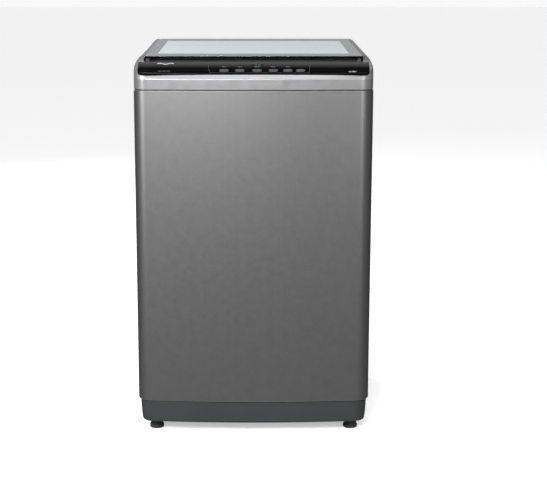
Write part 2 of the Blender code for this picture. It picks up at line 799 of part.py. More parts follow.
def build_connections():
    """Detergent drawer in its housing, water inlet valve, cord gland and drain outlet."""
    housing = box("detergent_housing", (-HOUSING_HALF, THROAT_BACK + WALL + 0.002, HOUSING_LOW),
                  (HOUSING_HALF, DRAWER_BACK + 0.008, HOUSING_HIGH), 0.002)
    inside = box("housing_inside", (-DRAWER_HALF - 0.0015, 0.10, DRAWER_LOW - 0.0015),
                 (DRAWER_HALF + 0.0015, DRAWER_BACK + 0.004, DRAWER_HIGH + 0.0025))
    cut(housing, inside)
    finish(housing, "white_plastic")

    front = THROAT_BACK - 0.0035
    drawer = box("detergent_drawer", (-DRAWER_HALF, front, DRAWER_LOW),
                 (DRAWER_HALF, DRAWER_BACK, DRAWER_HIGH), 0.001)
    tray = box("drawer_inside", (-DRAWER_HALF + 0.002, front + 0.003, DRAWER_LOW + 0.002),
               (DRAWER_HALF - 0.002, DRAWER_BACK - 0.002, DRAWER_HIGH + 0.02))
    cut(drawer, tray)
    finish(drawer, "white_plastic")

    valve = box("inlet_valve", (VALVE_X - 0.030, 0.224, VALVE_Z - 0.020),
                (VALVE_X + 0.030, 0.262, VALVE_Z + 0.020), 0.002)
    spigot = cylinder("valve_spigot", 0.012, (VALVE_X, 0.250, VALVE_Z),
                      (VALVE_X, OUTER_REAR, VALVE_Z))
    bore = cylinder("valve_bore", 0.0085, (VALVE_X, 0.262, VALVE_Z),
                    (VALVE_X, 0.30, VALVE_Z))
    join(valve, spigot)
    cut(valve, bore)
    finish(valve, "white_plastic")

    gland = cylinder("cord_gland", 0.0125, (GLAND_X, REAR, GLAND_Z),
                     (GLAND_X, REAR + 0.004, GLAND_Z))
    neck = cylinder("gland_neck", 0.0080, (GLAND_X, REAR - 0.012, GLAND_Z),
                    (GLAND_X, REAR + 0.002, GLAND_Z))
    sleeve = cylinder("gland_sleeve", 0.0070, (GLAND_X, REAR + 0.002, GLAND_Z),
                      (GLAND_X, OUTER_REAR, GLAND_Z))
    passage = cylinder("gland_passage", 0.0038, (GLAND_X, 0.25, GLAND_Z),
                       (GLAND_X, 0.30, GLAND_Z), 16)
    join(gland, neck, sleeve)
    cut(gland, passage)
    finish(gland, "rubber")

    drain = cylinder("drain_outlet", 0.026, (DRAIN_X, REAR + GAP, DRAIN_Z),
                     (DRAIN_X, REAR + 0.0035, DRAIN_Z))
    barb = cylinder("drain_barb", 0.0155, (DRAIN_X, REAR - 0.025, DRAIN_Z),
                    (DRAIN_X, OUTER_REAR, DRAIN_Z))
    passage = cylinder("drain_passage", 0.0125, (DRAIN_X, 0.22, DRAIN_Z),
                       (DRAIN_X, 0.30, DRAIN_Z))
    join(drain, barb)
    cut(drain, passage)
    finish(drain, "dark_plastic")


# ---------------------------------------------------------------------- tub and basket

def build_tub():
    """Outer tub with four lugs for the rods, and the ring that closes its rim."""
    inner = TUB_RADIUS - TUB_WALL
    floor = TUB_BOTTOM + TUB_WALL
    profile = [
        (TUB_RADIUS, TUB_TOP), (TUB_RADIUS, TUB_BOTTOM + 0.020),
        (TUB_RADIUS - 0.020, TUB_BOTTOM), (0.020, TUB_BOTTOM), (0.020, floor),
        (inner - 0.018, floor), (inner, floor + 0.018), (inner, TUB_TOP)]
    tub = turned("outer_tub", profile, steps=48)
    for side in (-1, 1):
        for end in (-1, 1):
            angle = math.atan2(end * ROD_Y, side * ROD_X)
            reach = math.hypot(ROD_X, ROD_Y)
            lug = box("tub_lug", (TUB_RADIUS - 0.003, -0.022, LUG_BOTTOM),
                      (reach + 0.020, 0.022, LUG_TOP))
            lug.matrix_world = (Matrix.Translation((0.0, AXIS_Y, 0.0))
                                @ Matrix.Rotation(angle, 4, "Z"))
            join(tub, lug)
    for side in (-1, 1):
        for end in (-1, 1):
            x = side * ROD_X
            y = AXIS_Y + end * ROD_Y
            hole = cylinder("lug_hole", LUG_HOLE, (x, y, 0.32), (x, y, 0.37), 16)
            cut(tub, hole)
    finish(tub, "tub_plastic")

    low = TUB_TOP + GAP
    ring = turned("tub_ring", [
        (TUB_RADIUS + 0.002, low + 0.005), (TUB_RADIUS + 0.002, low), (0.200, low),
        (0.200, low + 0.016), (0.203, low + 0.016), (0.206, low + 0.005)], steps=48)
    finish(ring, "tub_plastic")


def build_basket():
    """Spin basket with its hub, shaft, balance ring and lint filter."""
    inner = BASKET_RADIUS - BASKET_WALL
    floor = BASKET_BOTTOM + BASKET_WALL
    basket = turned("basket", [
        (BASKET_RADIUS, RING_BOTTOM - GAP), (BASKET_RADIUS, BASKET_BOTTOM + 0.020),
        (BASKET_RADIUS - 0.006, BASKET_BOTTOM + 0.006),
        (BASKET_RADIUS - 0.020, BASKET_BOTTOM), (0.0168, BASKET_BOTTOM), (0.0168, floor),
        (inner - 0.019, floor), (inner - 0.006, floor + 0.006), (inner, floor + 0.019),
        (inner, RING_BOTTOM - GAP)], steps=48)
    finish(basket, "stainless")

    ring = turned("balance_ring", [
        (RING_INNER + 0.008, RING_TOP), (BASKET_RADIUS - 0.004, RING_TOP),
        (BASKET_RADIUS, RING_TOP - 0.004), (BASKET_RADIUS, RING_BOTTOM),
        (RING_INNER + 0.006, RING_BOTTOM), (RING_INNER, RING_BOTTOM + 0.006),
        (RING_INNER, RING_TOP - 0.008)], steps=48)
    finish(ring, "silver_plastic")

    hub = turned("basket_hub", [
        (0.090, BASKET_BOTTOM - GAP), (0.090, BASKET_BOTTOM - 0.006),
        (0.030, BASKET_BOTTOM - 0.012), (0.0163, BASKET_BOTTOM - 0.012),
        (0.0163, BASKET_BOTTOM - GAP)], steps=24)
    finish(hub, "aluminium")
    shaft = turned("spin_shaft", [
        (0.0160, 0.3285), (0.0160, 0.2460), (0.0085, 0.2460), (0.0085, 0.3285)], steps=20)
    finish(shaft, "zinc_steel")

    lint_filter = box("lint_filter", (0.2080, AXIS_Y - 0.035, 0.560),
                      (0.2240, AXIS_Y + 0.035, 0.680), 0.006)
    finish(set_origin(lint_filter, (0.0, AXIS_Y, 0.0)), "silver_plastic")


def build_pulsator():
    """Ribbed disc at the bottom of the basket, on its own shaft."""
    pulsator = turned("pulsator", [
        (0.0, 0.368), (0.026, 0.368), (0.034, 0.362), (0.060, 0.350), (0.110, 0.343),
        (0.155, 0.340), (0.168, 0.336), (0.170, 0.330), (0.0084, 0.330),
        (0.0084, 0.3523), (0.0, 0.3523)], steps=48, closed=False)
    for i in range(4):
        vane = box("pulsator_vane", (0.030, -0.013, 0.335), (0.152, 0.013, 0.364))
        crest = [v for v in vane.data.vertices if v.co.z > 0.36]
        for vertex in crest:
            vertex.co.y *= 0.45
            if vertex.co.x > 0.1:
                vertex.co.x -= 0.020
                vertex.co.z -= 0.008
        vane.matrix_world = (Matrix.Translation((0.0, AXIS_Y, 0.0))
                             @ Matrix.Rotation(math.radians(45 + 90 * i), 4, "Z"))
        join(pulsator, vane)
    finish(pulsator, "silver_plastic")
    cap = turned("pulsator_cap", [
        (0.0, 0.3755), (0.012, 0.3745), (0.0185, 0.3715), (0.0200, 0.3683),
        (0.0, 0.3683)], steps=24, closed=False)
    finish(cap, "chrome")
    shaft = turned("pulsator_shaft", [
        (0.0, 0.3515), (0.008, 0.3515), (0.008, 0.2440), (0.0, 0.2440)], steps=16,
        closed=False)
    finish(shaft, "stainless")


# ------------------------------------------------------------------------------- drive

def pulley_profile(groove, stub, stub_top):
    """Pulley with a flat groove between two flanges, and a stub shaft upwards."""
    flange = groove + FLANGE_DEPTH
    low = BELT_LOW - 0.0005
    high = BELT_HIGH + 0.0005
    return [
        (0.0, stub_top), (stub, stub_top), (stub, high + 0.004), (flange, high + 0.004),
        (flange, high), (groove, high), (groove, low), (flange, low),
        (flange, low - 0.004), (0.0, low - 0.004)]


def build_drive():
    """Gearbox, motor, mounting plate, two pulleys, belt and drain valve under the tub."""
    gearbox = turned("gearbox", [
        (0.085, TUB_BOTTOM - GAP), (0.085, 0.2905), (0.062, 0.2905), (0.062, 0.222),
        (0.050, 0.205), (0.0085, 0.205), (0.0085, 0.225), (0.030, 0.225), (0.030, 0.240),
        (0.0164, 0.240), (0.0164, TUB_BOTTOM - GAP)], steps=24)
    finish(gearbox, "aluminium")

    carrier = plate("motor_plate", [
        tangent_outline((0.0, AXIS_Y), 0.080, (MOTOR_X, MOTOR_Y), 0.060, 16),
        circle_outline((0.0, AXIS_Y), 0.0640, 24)], 0.2860, 0.2900)
    finish(carrier, "zinc_steel")

    motor = turned("motor", [
        (0.0, 0.2857), (MOTOR_RADIUS - 0.006, 0.2857), (MOTOR_RADIUS, 0.2780),
        (MOTOR_RADIUS, 0.2130), (MOTOR_RADIUS - 0.010, 0.2030), (0.0065, 0.2030),
        (0.0065, 0.2130), (0.0, 0.2130)], (MOTOR_X, MOTOR_Y), 24, closed=False)
    finish(motor, "motor_black")

    drive = turned("drive_pulley", pulley_profile(DRIVE_GROOVE, 0.0080, 0.2200),
                   steps=36, closed=False)
    finish(drive, "aluminium")
    small = turned("motor_pulley", pulley_profile(MOTOR_GROOVE, 0.0060, 0.2110),
                   (MOTOR_X, MOTOR_Y), 24, closed=False)
    finish(small, "aluminium")

    centres = ((0.0, AXIS_Y), (MOTOR_X, MOTOR_Y))
    inner = tangent_outline(centres[0], DRIVE_GROOVE + RUNNING, centres[1],
                            MOTOR_GROOVE + RUNNING, 12)
    outer = tangent_outline(centres[0], DRIVE_GROOVE + RUNNING + BELT_THICK, centres[1],
                            MOTOR_GROOVE + RUNNING + BELT_THICK, 12)
    belt = plate("drive_belt", [outer, inner], BELT_LOW, BELT_HIGH)
    finish(belt, "rubber")

    valve = turned("drain_valve", [
        (0.0, TUB_BOTTOM - GAP), (0.030, TUB_BOTTOM - GAP), (0.030, 0.262),
        (0.022, 0.255), (0.022, 0.236), (0.0, 0.236)], (-0.120, -0.110), 24, closed=False)
    outlet = cylinder("valve_outlet", 0.013, (-0.120, -0.110, 0.278),
                      (-0.175, -0.110, 0.278), 20)
    join(valve, outlet)
    finish(valve, "dark_plastic")


clear_scene()
PARTS = new_collection("top_load_washing_machine")
TOOLS = new_collection("cutting_guides")
TOOLS.hide_render = True

build_cabinet()
build_rods()
build_base()
build_feet()
build_cover()
build_panel()
build_lid()
build_connections()
build_tub()
build_basket()
build_pulsator()
build_drive()
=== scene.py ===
"""Looks of the top load washing machine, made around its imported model."""

import math

import bmesh
import bpy
from mathutils import Matrix, Vector


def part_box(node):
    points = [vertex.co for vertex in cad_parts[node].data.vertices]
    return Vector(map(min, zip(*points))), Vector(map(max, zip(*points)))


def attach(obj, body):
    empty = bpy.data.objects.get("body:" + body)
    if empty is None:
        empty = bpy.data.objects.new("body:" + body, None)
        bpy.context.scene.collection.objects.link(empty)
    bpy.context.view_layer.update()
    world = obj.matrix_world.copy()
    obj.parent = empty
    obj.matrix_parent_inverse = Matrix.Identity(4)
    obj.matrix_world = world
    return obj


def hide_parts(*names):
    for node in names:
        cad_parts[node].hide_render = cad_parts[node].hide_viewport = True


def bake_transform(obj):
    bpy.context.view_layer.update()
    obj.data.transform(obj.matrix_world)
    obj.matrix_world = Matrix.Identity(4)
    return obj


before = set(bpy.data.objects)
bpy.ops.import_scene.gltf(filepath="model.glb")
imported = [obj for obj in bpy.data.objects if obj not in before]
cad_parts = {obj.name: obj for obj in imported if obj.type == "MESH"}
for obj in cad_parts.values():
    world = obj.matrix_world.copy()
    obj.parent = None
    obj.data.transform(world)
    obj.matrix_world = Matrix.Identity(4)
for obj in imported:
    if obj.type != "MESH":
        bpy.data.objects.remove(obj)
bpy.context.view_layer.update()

# ------------------------------------------------------------------------- dimensions
# Everything is in metres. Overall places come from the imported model's boxes, and the
# shape constants repeat those of the design.
SHELL_LOW, SHELL_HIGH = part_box("cabinet_shell")
GLASS_LOW, GLASS_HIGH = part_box("lid_glass")
PANEL_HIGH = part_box("control_panel")[1]
TUB_LOW, TUB_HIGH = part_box("outer_tub")
REAR_LOW, REAR_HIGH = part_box("rear_panel")
RING_LOW, RING_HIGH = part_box("balance_ring")
BASKET_LOW, BASKET_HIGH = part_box("basket")

WIDTH = SHELL_HIGH[0] - SHELL_LOW[0]
FRONT = SHELL_LOW[1]
REAR = REAR_HIGH[1]
BOW = 0.016                    # how far the front bows out
CORNER_RADIUS = 0.036
REAR_RADIUS = 0.022
GAP = 0.0003                   # clearance between fitted pieces
WALL = 0.003                   # moulded wall

CREASE = 0.8407
PANEL_FRONT = -0.276
PANEL_FRONT_Z = 0.851
PANEL_BACK = PANEL_HIGH[1]
PANEL_HALF = PANEL_HIGH[0]
PANEL_BOW = 0.008
PANEL_THICK = 0.006
PANEL_ANGLE = math.atan(0.5)
PANEL_UP = Vector((0.0, -math.sin(PANEL_ANGLE), math.cos(PANEL_ANGLE)))
PANEL_SLOPE = Vector((0.0, math.cos(PANEL_ANGLE), math.sin(PANEL_ANGLE)))

LID_RISE = 0.056
LID_ANGLE = math.atan(LID_RISE)
LID_FRONT = GLASS_LOW[1]
LID_TOP_Z = 0.890
LID_HALF = GLASS_HIGH[0]
LID_LENGTH = 0.465
GLASS_THICK = 0.005
FRAME_THICK = 0.012
FRAME_BAR = 0.028
RIM_DROP = 0.001
DECK_DROP = 0.029
RECESS_HALF = 0.2528
RECESS_BACK = 0.252
HINGE = Vector((0.0, 0.236, 0.9036))
PRINT_SIDE = 0.028             # printed border of the glass, at the sides
PRINT_FRONT = 0.062
PRINT_BACK = 0.060

AXIS_Y = -0.007
THROAT = (-0.175, 0.175, -0.167, 0.153)
THROAT_RADIUS = 0.110
BUTTON_ALONG = 0.0186          # up the panel's slope
WINDOW_X = 0.0095
WINDOW_ALONG = 0.0417
MARK_LOW = 0.00002             # printed marks, above the panel's face
MARK_HIGH = 0.00012
UPRIGHT = math.radians(90)
SIDES = ((-1, "left"), (1, "right"))

ROD_X = 0.215                  # hanging rods, from the middle of the machine
ROD_Y = 0.200                  # and from the tub's axis
FOOT_X = 0.234
MOTOR = (0.140, 0.050)
DRAIN_VALVE = (-0.120, -0.110)
SPIGOT_START = 0.262

# Studio: grey of the surroundings, as stops of (place, radiance). Places run from 0 to 1:
# straight down to straight up, and for WORLD_ROUND from the front to the rear.
WORLD_HORIZON = ((0.0, 0.0), (0.48, 0.0), (0.51, 1.0), (0.60, 1.0), (0.76, 0.0), (1.0, 0.0))
WORLD_ROUND = ((0.0, 0.08), (0.25, 0.14), (0.5, 0.42), (0.72, 0.14), (0.86, 0.14), (1.0, 0.42))
WORLD_REST = ((0.0, 0.45), (0.20, 0.45), (0.31, 0.10), (0.42, 0.03), (0.49, 0.03),
              (0.51, 0.025), (1.0, 0.025))
WORLD_OVERHEAD = 2.7
OVERHEAD_TOWARD = (0.0, -0.26, 0.966)
OVERHEAD_EDGE = (0.86, 0.97)   # cosines at which it starts and is full
WORLD_SEEN = 0.95              # what the camera sees behind the machine
FLOOR_HALF = 500.0
FLOOR_GLOW = 0.46

# Lamps: place, aim, width, height and power in watts
LAMPS = {
    "key_light": ((-0.6, -2.9, 1.95), (0.0, -0.2, 0.7), 1.6, 1.0, 100.0),
    "rear_fill": ((-1.9, 3.3, 2.5), (0.0, 0.2, 0.5), 1.8, 1.4, 70.0),
    "left_strip": ((-2.35, -1.95, 1.65), (0.0, -0.2, 0.6), 0.20, 1.4, 66.0),
    "right_strip": ((1.8, -2.6, 1.65), (0.0, -0.2, 0.6), 0.12, 1.4, 36.0),
}
CAMERA_PLACE = (0.0, -3.1, 1.006)
CAMERA_DIP = 10.708            # degrees below level
CAMERA_LENS = 81.67
CAMERA_SENSOR = 36.0
CAMERA_SHIFT = (0.0365, -0.0068)

BUTTONS = ("program_button", "water_level_button", "wash_time_button", "delay_button",
           "start_pause_button", "power_button")


# -------------------------------------------------------------------------- materials

RANGE = ("From Min", "From Max", "To Min", "To Max")


class Paint:
    """A procedural material: colour drift, roughness drift and a fine relief."""

    def __init__(self, name, roughness=0.4, **fixed):
        self.material = bpy.data.materials.new(name)
        self.material.use_nodes = True
        self.tree = self.material.node_tree
        self.shader = self.tree.nodes["Principled BSDF"]
        self.shader.inputs["Roughness"].default_value = roughness
        for socket, value in fixed.items():
            self.shader.inputs[socket.replace("_", " ")].default_value = value
        self.coords = self.tree.nodes.new("ShaderNodeTexCoord")
        self.relief = None

    def node(self, kind, **values):
        made = self.tree.nodes.new(kind)
        for key, value in values.items():
            if key in made.inputs:
                made.inputs[key].default_value = value
            else:
                setattr(made, key, value)
        return made

    def link(self, output, target):
        self.tree.links.new(output, target)

    def place(self, stretch=(1.0, 1.0, 1.0)):
        mapping = self.node("ShaderNodeMapping")
        mapping.inputs["Scale"].default_value = stretch
        self.link(self.coords.outputs["Object"], mapping.inputs["Vector"])
        return mapping.outputs["Vector"]

    def noise(self, scale, detail=3.0, stretch=(1.0, 1.0, 1.0)):
        made = self.node("ShaderNodeTexNoise", Scale=scale, Detail=detail)
        self.link(self.place(stretch), made.inputs["Vector"])
        return made.outputs["Fac"]

    def cells(self, scale):
        made = self.node("ShaderNodeTexVoronoi", Scale=scale)
        self.link(self.place(), made.inputs["Vector"])
        return made

    def spread(self, value, low, high, start=0.3, end=0.7):
        made = self.node("ShaderNodeMapRange")
        for key, number in zip(RANGE, (start, end, low, high)):
            made.inputs[key].default_value = number
        self.link(value, made.inputs["Value"])
        return made.outputs["Result"]

    def colours(self, value, first, second, start=0.3, end=0.7):
        ramp = self.node("ShaderNodeValToRGB")
        ramp.color_ramp.elements[0].position = start
        ramp.color_ramp.elements[0].color = (*first, 1.0)
        ramp.color_ramp.elements[1].position = end
        ramp.color_ramp.elements[1].color = (*second, 1.0)
        self.link(value, ramp.inputs["Fac"])
        return ramp.outputs["Color"]

    def blend(self, factor, first, second, mode="MIX"):
        mix = self.node("ShaderNodeMix", data_type="RGBA", blend_type=mode)
        sockets = [s for s in mix.inputs if s.type == "RGBA"]
        if isinstance(factor, float):
            mix.inputs[0].default_value = factor
        else:
            self.link(factor, mix.inputs[0])
        for socket, colour in zip(sockets, (first, second)):
            if isinstance(colour, tuple):
                socket.default_value = (*colour, 1.0)
            else:
                self.link(colour, socket)
        return [s for s in mix.outputs if s.type == "RGBA"][0]

    def colour(self, value):
        self.link(value, self.shader.inputs["Base Color"])
        return self

    def rough(self, value):
        self.link(value, self.shader.inputs["Roughness"])
        return self

    def bump(self, height, strength, distance=0.0002):
        made = self.node("ShaderNodeBump", Strength=strength, Distance=distance)
        self.link(height, made.inputs["Height"])
        if self.relief is not None:
            self.link(self.relief, made.inputs["Normal"])
        self.relief = made.outputs["Normal"]
        self.link(self.relief, self.shader.inputs["Normal"])
        return self


def tint(colour, factor):
    return tuple(min(1.0, part * factor) for part in colour)


def moulded(name, colour, roughness, grain=900.0, relief=0.25, drift=0.05, coat=0.0):
    """Moulded plastic or rubber: fine spark texture and a slight drift of colour."""
    paint = Paint(name, Coat_Weight=coat, Coat_Roughness=0.08)
    slow = paint.noise(7.0, 4.0)
    paint.colour(paint.colours(slow, tint(colour, 1 - drift), tint(colour, 1 + drift)))
    patch = paint.noise(38.0, 5.0)
    paint.rough(paint.spread(patch, roughness - 0.05, roughness + 0.07))
    paint.bump(paint.noise(grain, 2.0), relief, 0.00012)
    return paint.material


def metal(name, colour, roughness, stretch=(1.0, 1.0, 1.0), scale=300.0, relief=0.15,
          drift=0.10):
    """Bare metal with a brushed, cast or plated grain."""
    paint = Paint(name, Metallic=1.0)
    grain = paint.noise(scale, 4.0, stretch)
    slow = paint.noise(9.0, 3.0)
    tone = paint.colours(grain, tint(colour, 1 - drift), tint(colour, 1 + drift))
    wash = paint.colours(slow, (0.90, 0.90, 0.90), (1.0, 1.0, 1.0))
    paint.colour(paint.blend(1.0, tone, wash, "MULTIPLY"))
    paint.rough(paint.spread(grain, roughness - 0.06, roughness + 0.10))
    paint.bump(grain, relief, 0.0001)
    return paint.material


def cabinet_paint():
    """Metallic grey coating on steel: fine flakes under a thin clear film."""
    paint = Paint("cabinet_paint", Metallic=0.94, Coat_Weight=0.22, Coat_Roughness=0.16)
    flakes = paint.cells(2600.0)
    flake_tone = paint.spread(flakes.outputs["Color"], 0.0, 1.0, 0.0, 1.0)
    base = paint.colours(flake_tone, (0.222, 0.222, 0.223), (0.312, 0.312, 0.313), 0.1, 0.9)
    slow = paint.noise(3.0, 2.0)
    wash = paint.colours(slow, (0.985, 0.985, 0.985), (1.0, 1.0, 1.0))
    paint.colour(paint.blend(1.0, base, wash, "MULTIPLY"))
    paint.rough(paint.spread(paint.noise(60.0, 4.0), 0.385, 0.405))
    paint.bump(flake_tone, 0.035, 0.00005)
    paint.bump(paint.noise(170.0, 2.0), 0.03, 0.0003)
    return paint.material


def silver_plastic():
    """Silver metallic plastic: pearl flakes and a soft sheen."""
    paint = Paint("silver_plastic", Metallic=0.6, Coat_Weight=0.15, Coat_Roughness=0.2)
    flakes = paint.spread(paint.cells(3200.0).outputs["Color"], 0.0, 1.0, 0.0, 1.0)
    base = paint.colours(flakes, (0.24, 0.24, 0.245), (0.34, 0.34, 0.345), 0.1, 0.9)
    wash = paint.colours(paint.noise(5.0, 3.0), (0.96, 0.96, 0.96), (1.0, 1.0, 1.0))
    paint.colour(paint.blend(1.0, base, wash, "MULTIPLY"))
    paint.rough(paint.spread(paint.noise(55.0, 4.0), 0.33, 0.42))
    paint.bump(flakes, 0.05, 0.00005)
    return paint.material


def black_gloss():
    """Gloss black panel with a faint haze of handling, and a painted reflection that turns it grey
    towards its back edge.
    """
    paint = Paint("black_panel", Specular_IOR_Level=0.3)
    haze = paint.noise(22.0, 6.0)
    depth = paint.node("ShaderNodeSeparateXYZ")
    paint.link(paint.coords.outputs["Object"], depth.inputs["Vector"])
    # Painted reflection: the colour goes from black to grey over the last 26 mm before the back
    # edge, where the surroundings would mirror in the gloss.
    fade = paint.spread(depth.outputs["Y"], 0.0, 1.0, PANEL_BACK - 0.026, PANEL_BACK - 0.004)
    black = paint.colours(haze, (0.0015, 0.0014, 0.0014), (0.0032, 0.0030, 0.0029))
    paint.colour(paint.blend(fade, black, (0.055, 0.052, 0.052)))
    paint.rough(paint.spread(haze, 0.10, 0.20))
    paint.bump(paint.noise(900.0, 2.0), 0.02, 0.00005)
    return paint.material


def lid_glass():
    """Toughened glass with a green-grey body and a trace of finger haze."""
    paint = Paint("lid_glass", Transmission_Weight=1.0, IOR=1.5)
    haze = paint.noise(14.0, 5.0)
    paint.colour(paint.colours(haze, (0.24, 0.31, 0.31), (0.30, 0.37, 0.37)))
    paint.rough(paint.spread(haze, 0.015, 0.05))
    paint.bump(paint.noise(8.0, 1.0), 0.01, 0.0005)
    return paint.material


def glass_print():
    """Glossy enamel border of the glass: grey-green with a fine dot screen."""
    paint = Paint("glass_print")
    dots = paint.cells(700.0).outputs["Distance"]
    paint.colour(paint.colours(dots, (0.13, 0.155, 0.162), (0.18, 0.205, 0.212), 0.2, 0.6))
    paint.rough(paint.spread(paint.noise(14.0, 4.0), 0.05, 0.10))
    paint.bump(paint.noise(8.0, 1.0), 0.01, 0.0005)
    return paint.material


def frost():
    """Pale satin enamel in the middle of the glass, screened in fine dots."""
    paint = Paint("frost", Alpha=0.90)
    dots = paint.cells(900.0).outputs["Distance"]
    paint.colour(paint.colours(dots, (0.53, 0.59, 0.605), (0.63, 0.69, 0.705), 0.2, 0.6))
    paint.rough(paint.spread(paint.noise(30.0), 0.38, 0.48))
    return paint.material


def glow(name, colour, strength):
    """Translucent plastic that is lit from behind."""
    paint = Paint(name, roughness=0.35, Emission_Strength=strength)
    tone = paint.colours(paint.noise(300.0), tint(colour, 0.85), colour)
    paint.colour(tone)
    paint.shader.inputs["Emission Color"].default_value = (*colour, 1.0)
    return paint.material


def rubber():
    """Matt black rubber with a little dust."""
    paint = Paint("rubber", Sheen_Weight=0.08)
    dust = paint.noise(30.0, 5.0)
    paint.colour(paint.colours(dust, (0.018, 0.018, 0.019), (0.036, 0.036, 0.037)))
    paint.rough(paint.spread(dust, 0.62, 0.82))
    paint.bump(paint.noise(1200.0, 3.0), 0.4, 0.00012)
    return paint.material


def zinc():
    """Zinc plated steel with its spangle."""
    paint = Paint("zinc_steel", Metallic=1.0)
    spangle = paint.spread(paint.cells(150.0).outputs["Color"], 0.0, 1.0, 0.0, 1.0)
    tone = paint.colours(spangle, (0.50, 0.51, 0.52), (0.58, 0.59, 0.60), 0.1, 0.9)
    paint.colour(tone)
    paint.rough(paint.spread(spangle, 0.40, 0.47, 0.0, 1.0))
    paint.bump(paint.noise(420.0, 3.0), 0.08, 0.0001)
    return paint.material


MATERIALS = {
    "cabinet_paint": cabinet_paint(),
    "silver_plastic": silver_plastic(),
    "black_panel": black_gloss(),
    "base_plastic": moulded("base_plastic", (0.036, 0.037, 0.038), 0.48, 1100.0, 0.35),
    "glass": lid_glass(),
    "print": glass_print(),
    "frost": frost(),
    "dark_plastic": moulded("dark_plastic", (0.030, 0.033, 0.034), 0.45, 1000.0, 0.3),
    "button_plastic": moulded("button_plastic", (0.055, 0.056, 0.058), 0.35, 800.0, 0.05),
    "display": moulded("display", (0.010, 0.014, 0.018), 0.10, 700.0, 0.02, coat=0.8),
    "marking": moulded("marking", (0.50, 0.51, 0.52), 0.50, 900.0, 0.05),
    "faint_marking": moulded("faint_marking", (0.10, 0.105, 0.11), 0.50, 900.0, 0.05),
    "blue_light": glow("blue_light", (0.08, 0.16, 0.38), 0.05),
    "red_light": glow("red_light", (0.32, 0.06, 0.05), 0.05),
    "white_plastic": moulded("white_plastic", (0.74, 0.75, 0.75), 0.38, 900.0, 0.15),
    "tub_plastic": moulded("tub_plastic", (0.52, 0.54, 0.55), 0.45, 600.0, 0.2),
    "stainless": metal("stainless", (0.58, 0.59, 0.60), 0.24, (1.0, 1.0, 40.0), 30.0, 0.06),
    "zinc_steel": zinc(),
    "chrome": metal("chrome", (0.78, 0.79, 0.80), 0.10, scale=60.0, relief=0.02,
                    drift=0.03),
    "aluminium": metal("aluminium", (0.56, 0.57, 0.58), 0.42, scale=520.0, relief=0.4),
    "motor_black": moulded("motor_black", (0.040, 0.041, 0.044), 0.42, 700.0, 0.3),
    "copper": metal("copper", (0.62, 0.27, 0.14), 0.35, (1.0, 1.0, 30.0), 60.0, 0.2),
    "rubber": rubber(),
}


# ----------------------------------------------------------------- pieces and modifiers

def piece(obj, body, look, *nodes, sharp=35.0):
    """Dress an object, let it ride on a body, and let it stand for CAD nodes."""
    obj.data.materials.clear()
    obj.data.materials.append(MATERIALS[look])
    if sharp is not None and obj.type == "MESH":
        obj.data.shade_smooth()
        obj.data.set_sharp_from_angle(angle=math.radians(sharp))
        obj.modifiers.new("normals", "WEIGHTED_NORMAL").keep_sharp = True
    if body:
        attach(obj, body)
    if nodes:
        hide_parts(*nodes)
    return obj


def add_object(name, data):
    obj = bpy.data.objects.new(name, data)
    bpy.context.scene.collection.objects.link(obj)
    return obj


def from_bmesh(name, work, tidy=True):
    if tidy:
        bmesh.ops.recalc_face_normals(work, faces=work.faces)
    mesh = bpy.data.meshes.new(name)
    work.to_mesh(mesh)
    work.free()
    return add_object(name, mesh)


def settle(obj):
    """Put the result of an object's modifiers and place into its mesh."""
    bpy.context.view_layer.update()
    graph = bpy.context.evaluated_depsgraph_get()
    mesh = bpy.data.meshes.new_from_object(obj.evaluated_get(graph))
    mesh.transform(obj.matrix_world)
    name = obj.name
    bpy.data.objects.remove(obj)
    mesh.name = name
    return add_object(name, mesh)


def combine(target, tools, operation):
    for tool in tools:
        step = target.modifiers.new(tool.name, "BOOLEAN")
        step.operation = operation
        step.solver = "EXACT"
        step.object = tool
    target = settle(target)
    for tool in tools:
        bpy.data.objects.remove(tool)
    return target


def cut(target, *tools):
    return combine(target, tools, "DIFFERENCE")


def join(target, *tools):
    return combine(target, tools, "UNION")


def bevel_edges(obj, width, segments, angle):
    step = obj.modifiers.new("edges", "BEVEL")
    step.width = width
    step.segments = segments
    step.limit_method = "ANGLE"
    step.angle_limit = math.radians(angle)
    return step


def soften(obj, width=0.0006, segments=2, angle=32.0):
    """Round the sharp edges, and give the flat faces clean normals."""
    work = bmesh.new()
    work.from_mesh(obj.data)
    bmesh.ops.remove_doubles(work, verts=work.verts, dist=0.00002)
    bmesh.ops.dissolve_limit(
        work, angle_limit=math.radians(0.3), verts=work.verts, edges=work.edges)
    work.to_mesh(obj.data)
    work.free()
    step = bevel_edges(obj, width, segments, angle)
    step.use_clamp_overlap = False
    step.harden_normals = False
    return settle(obj)


def middle(node):
    """Centre of a node's box."""
    return [(low + high) / 2 for low, high in zip(*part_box(node))]


# ----------------------------------------------------------------------------- outlines

def arc(centre, radius, start, end, steps):
    points = []
    for i in range(steps + 1):
        angle = start + (end - start) * i / steps
        nx = math.cos(angle)
        ny = math.sin(angle)
        points.append((centre[0] + radius * nx, centre[1] + radius * ny, nx, ny))
    return points


def flat(points):
    """Points without their normals."""
    return [(x, y) for x, y, nx, ny in points]


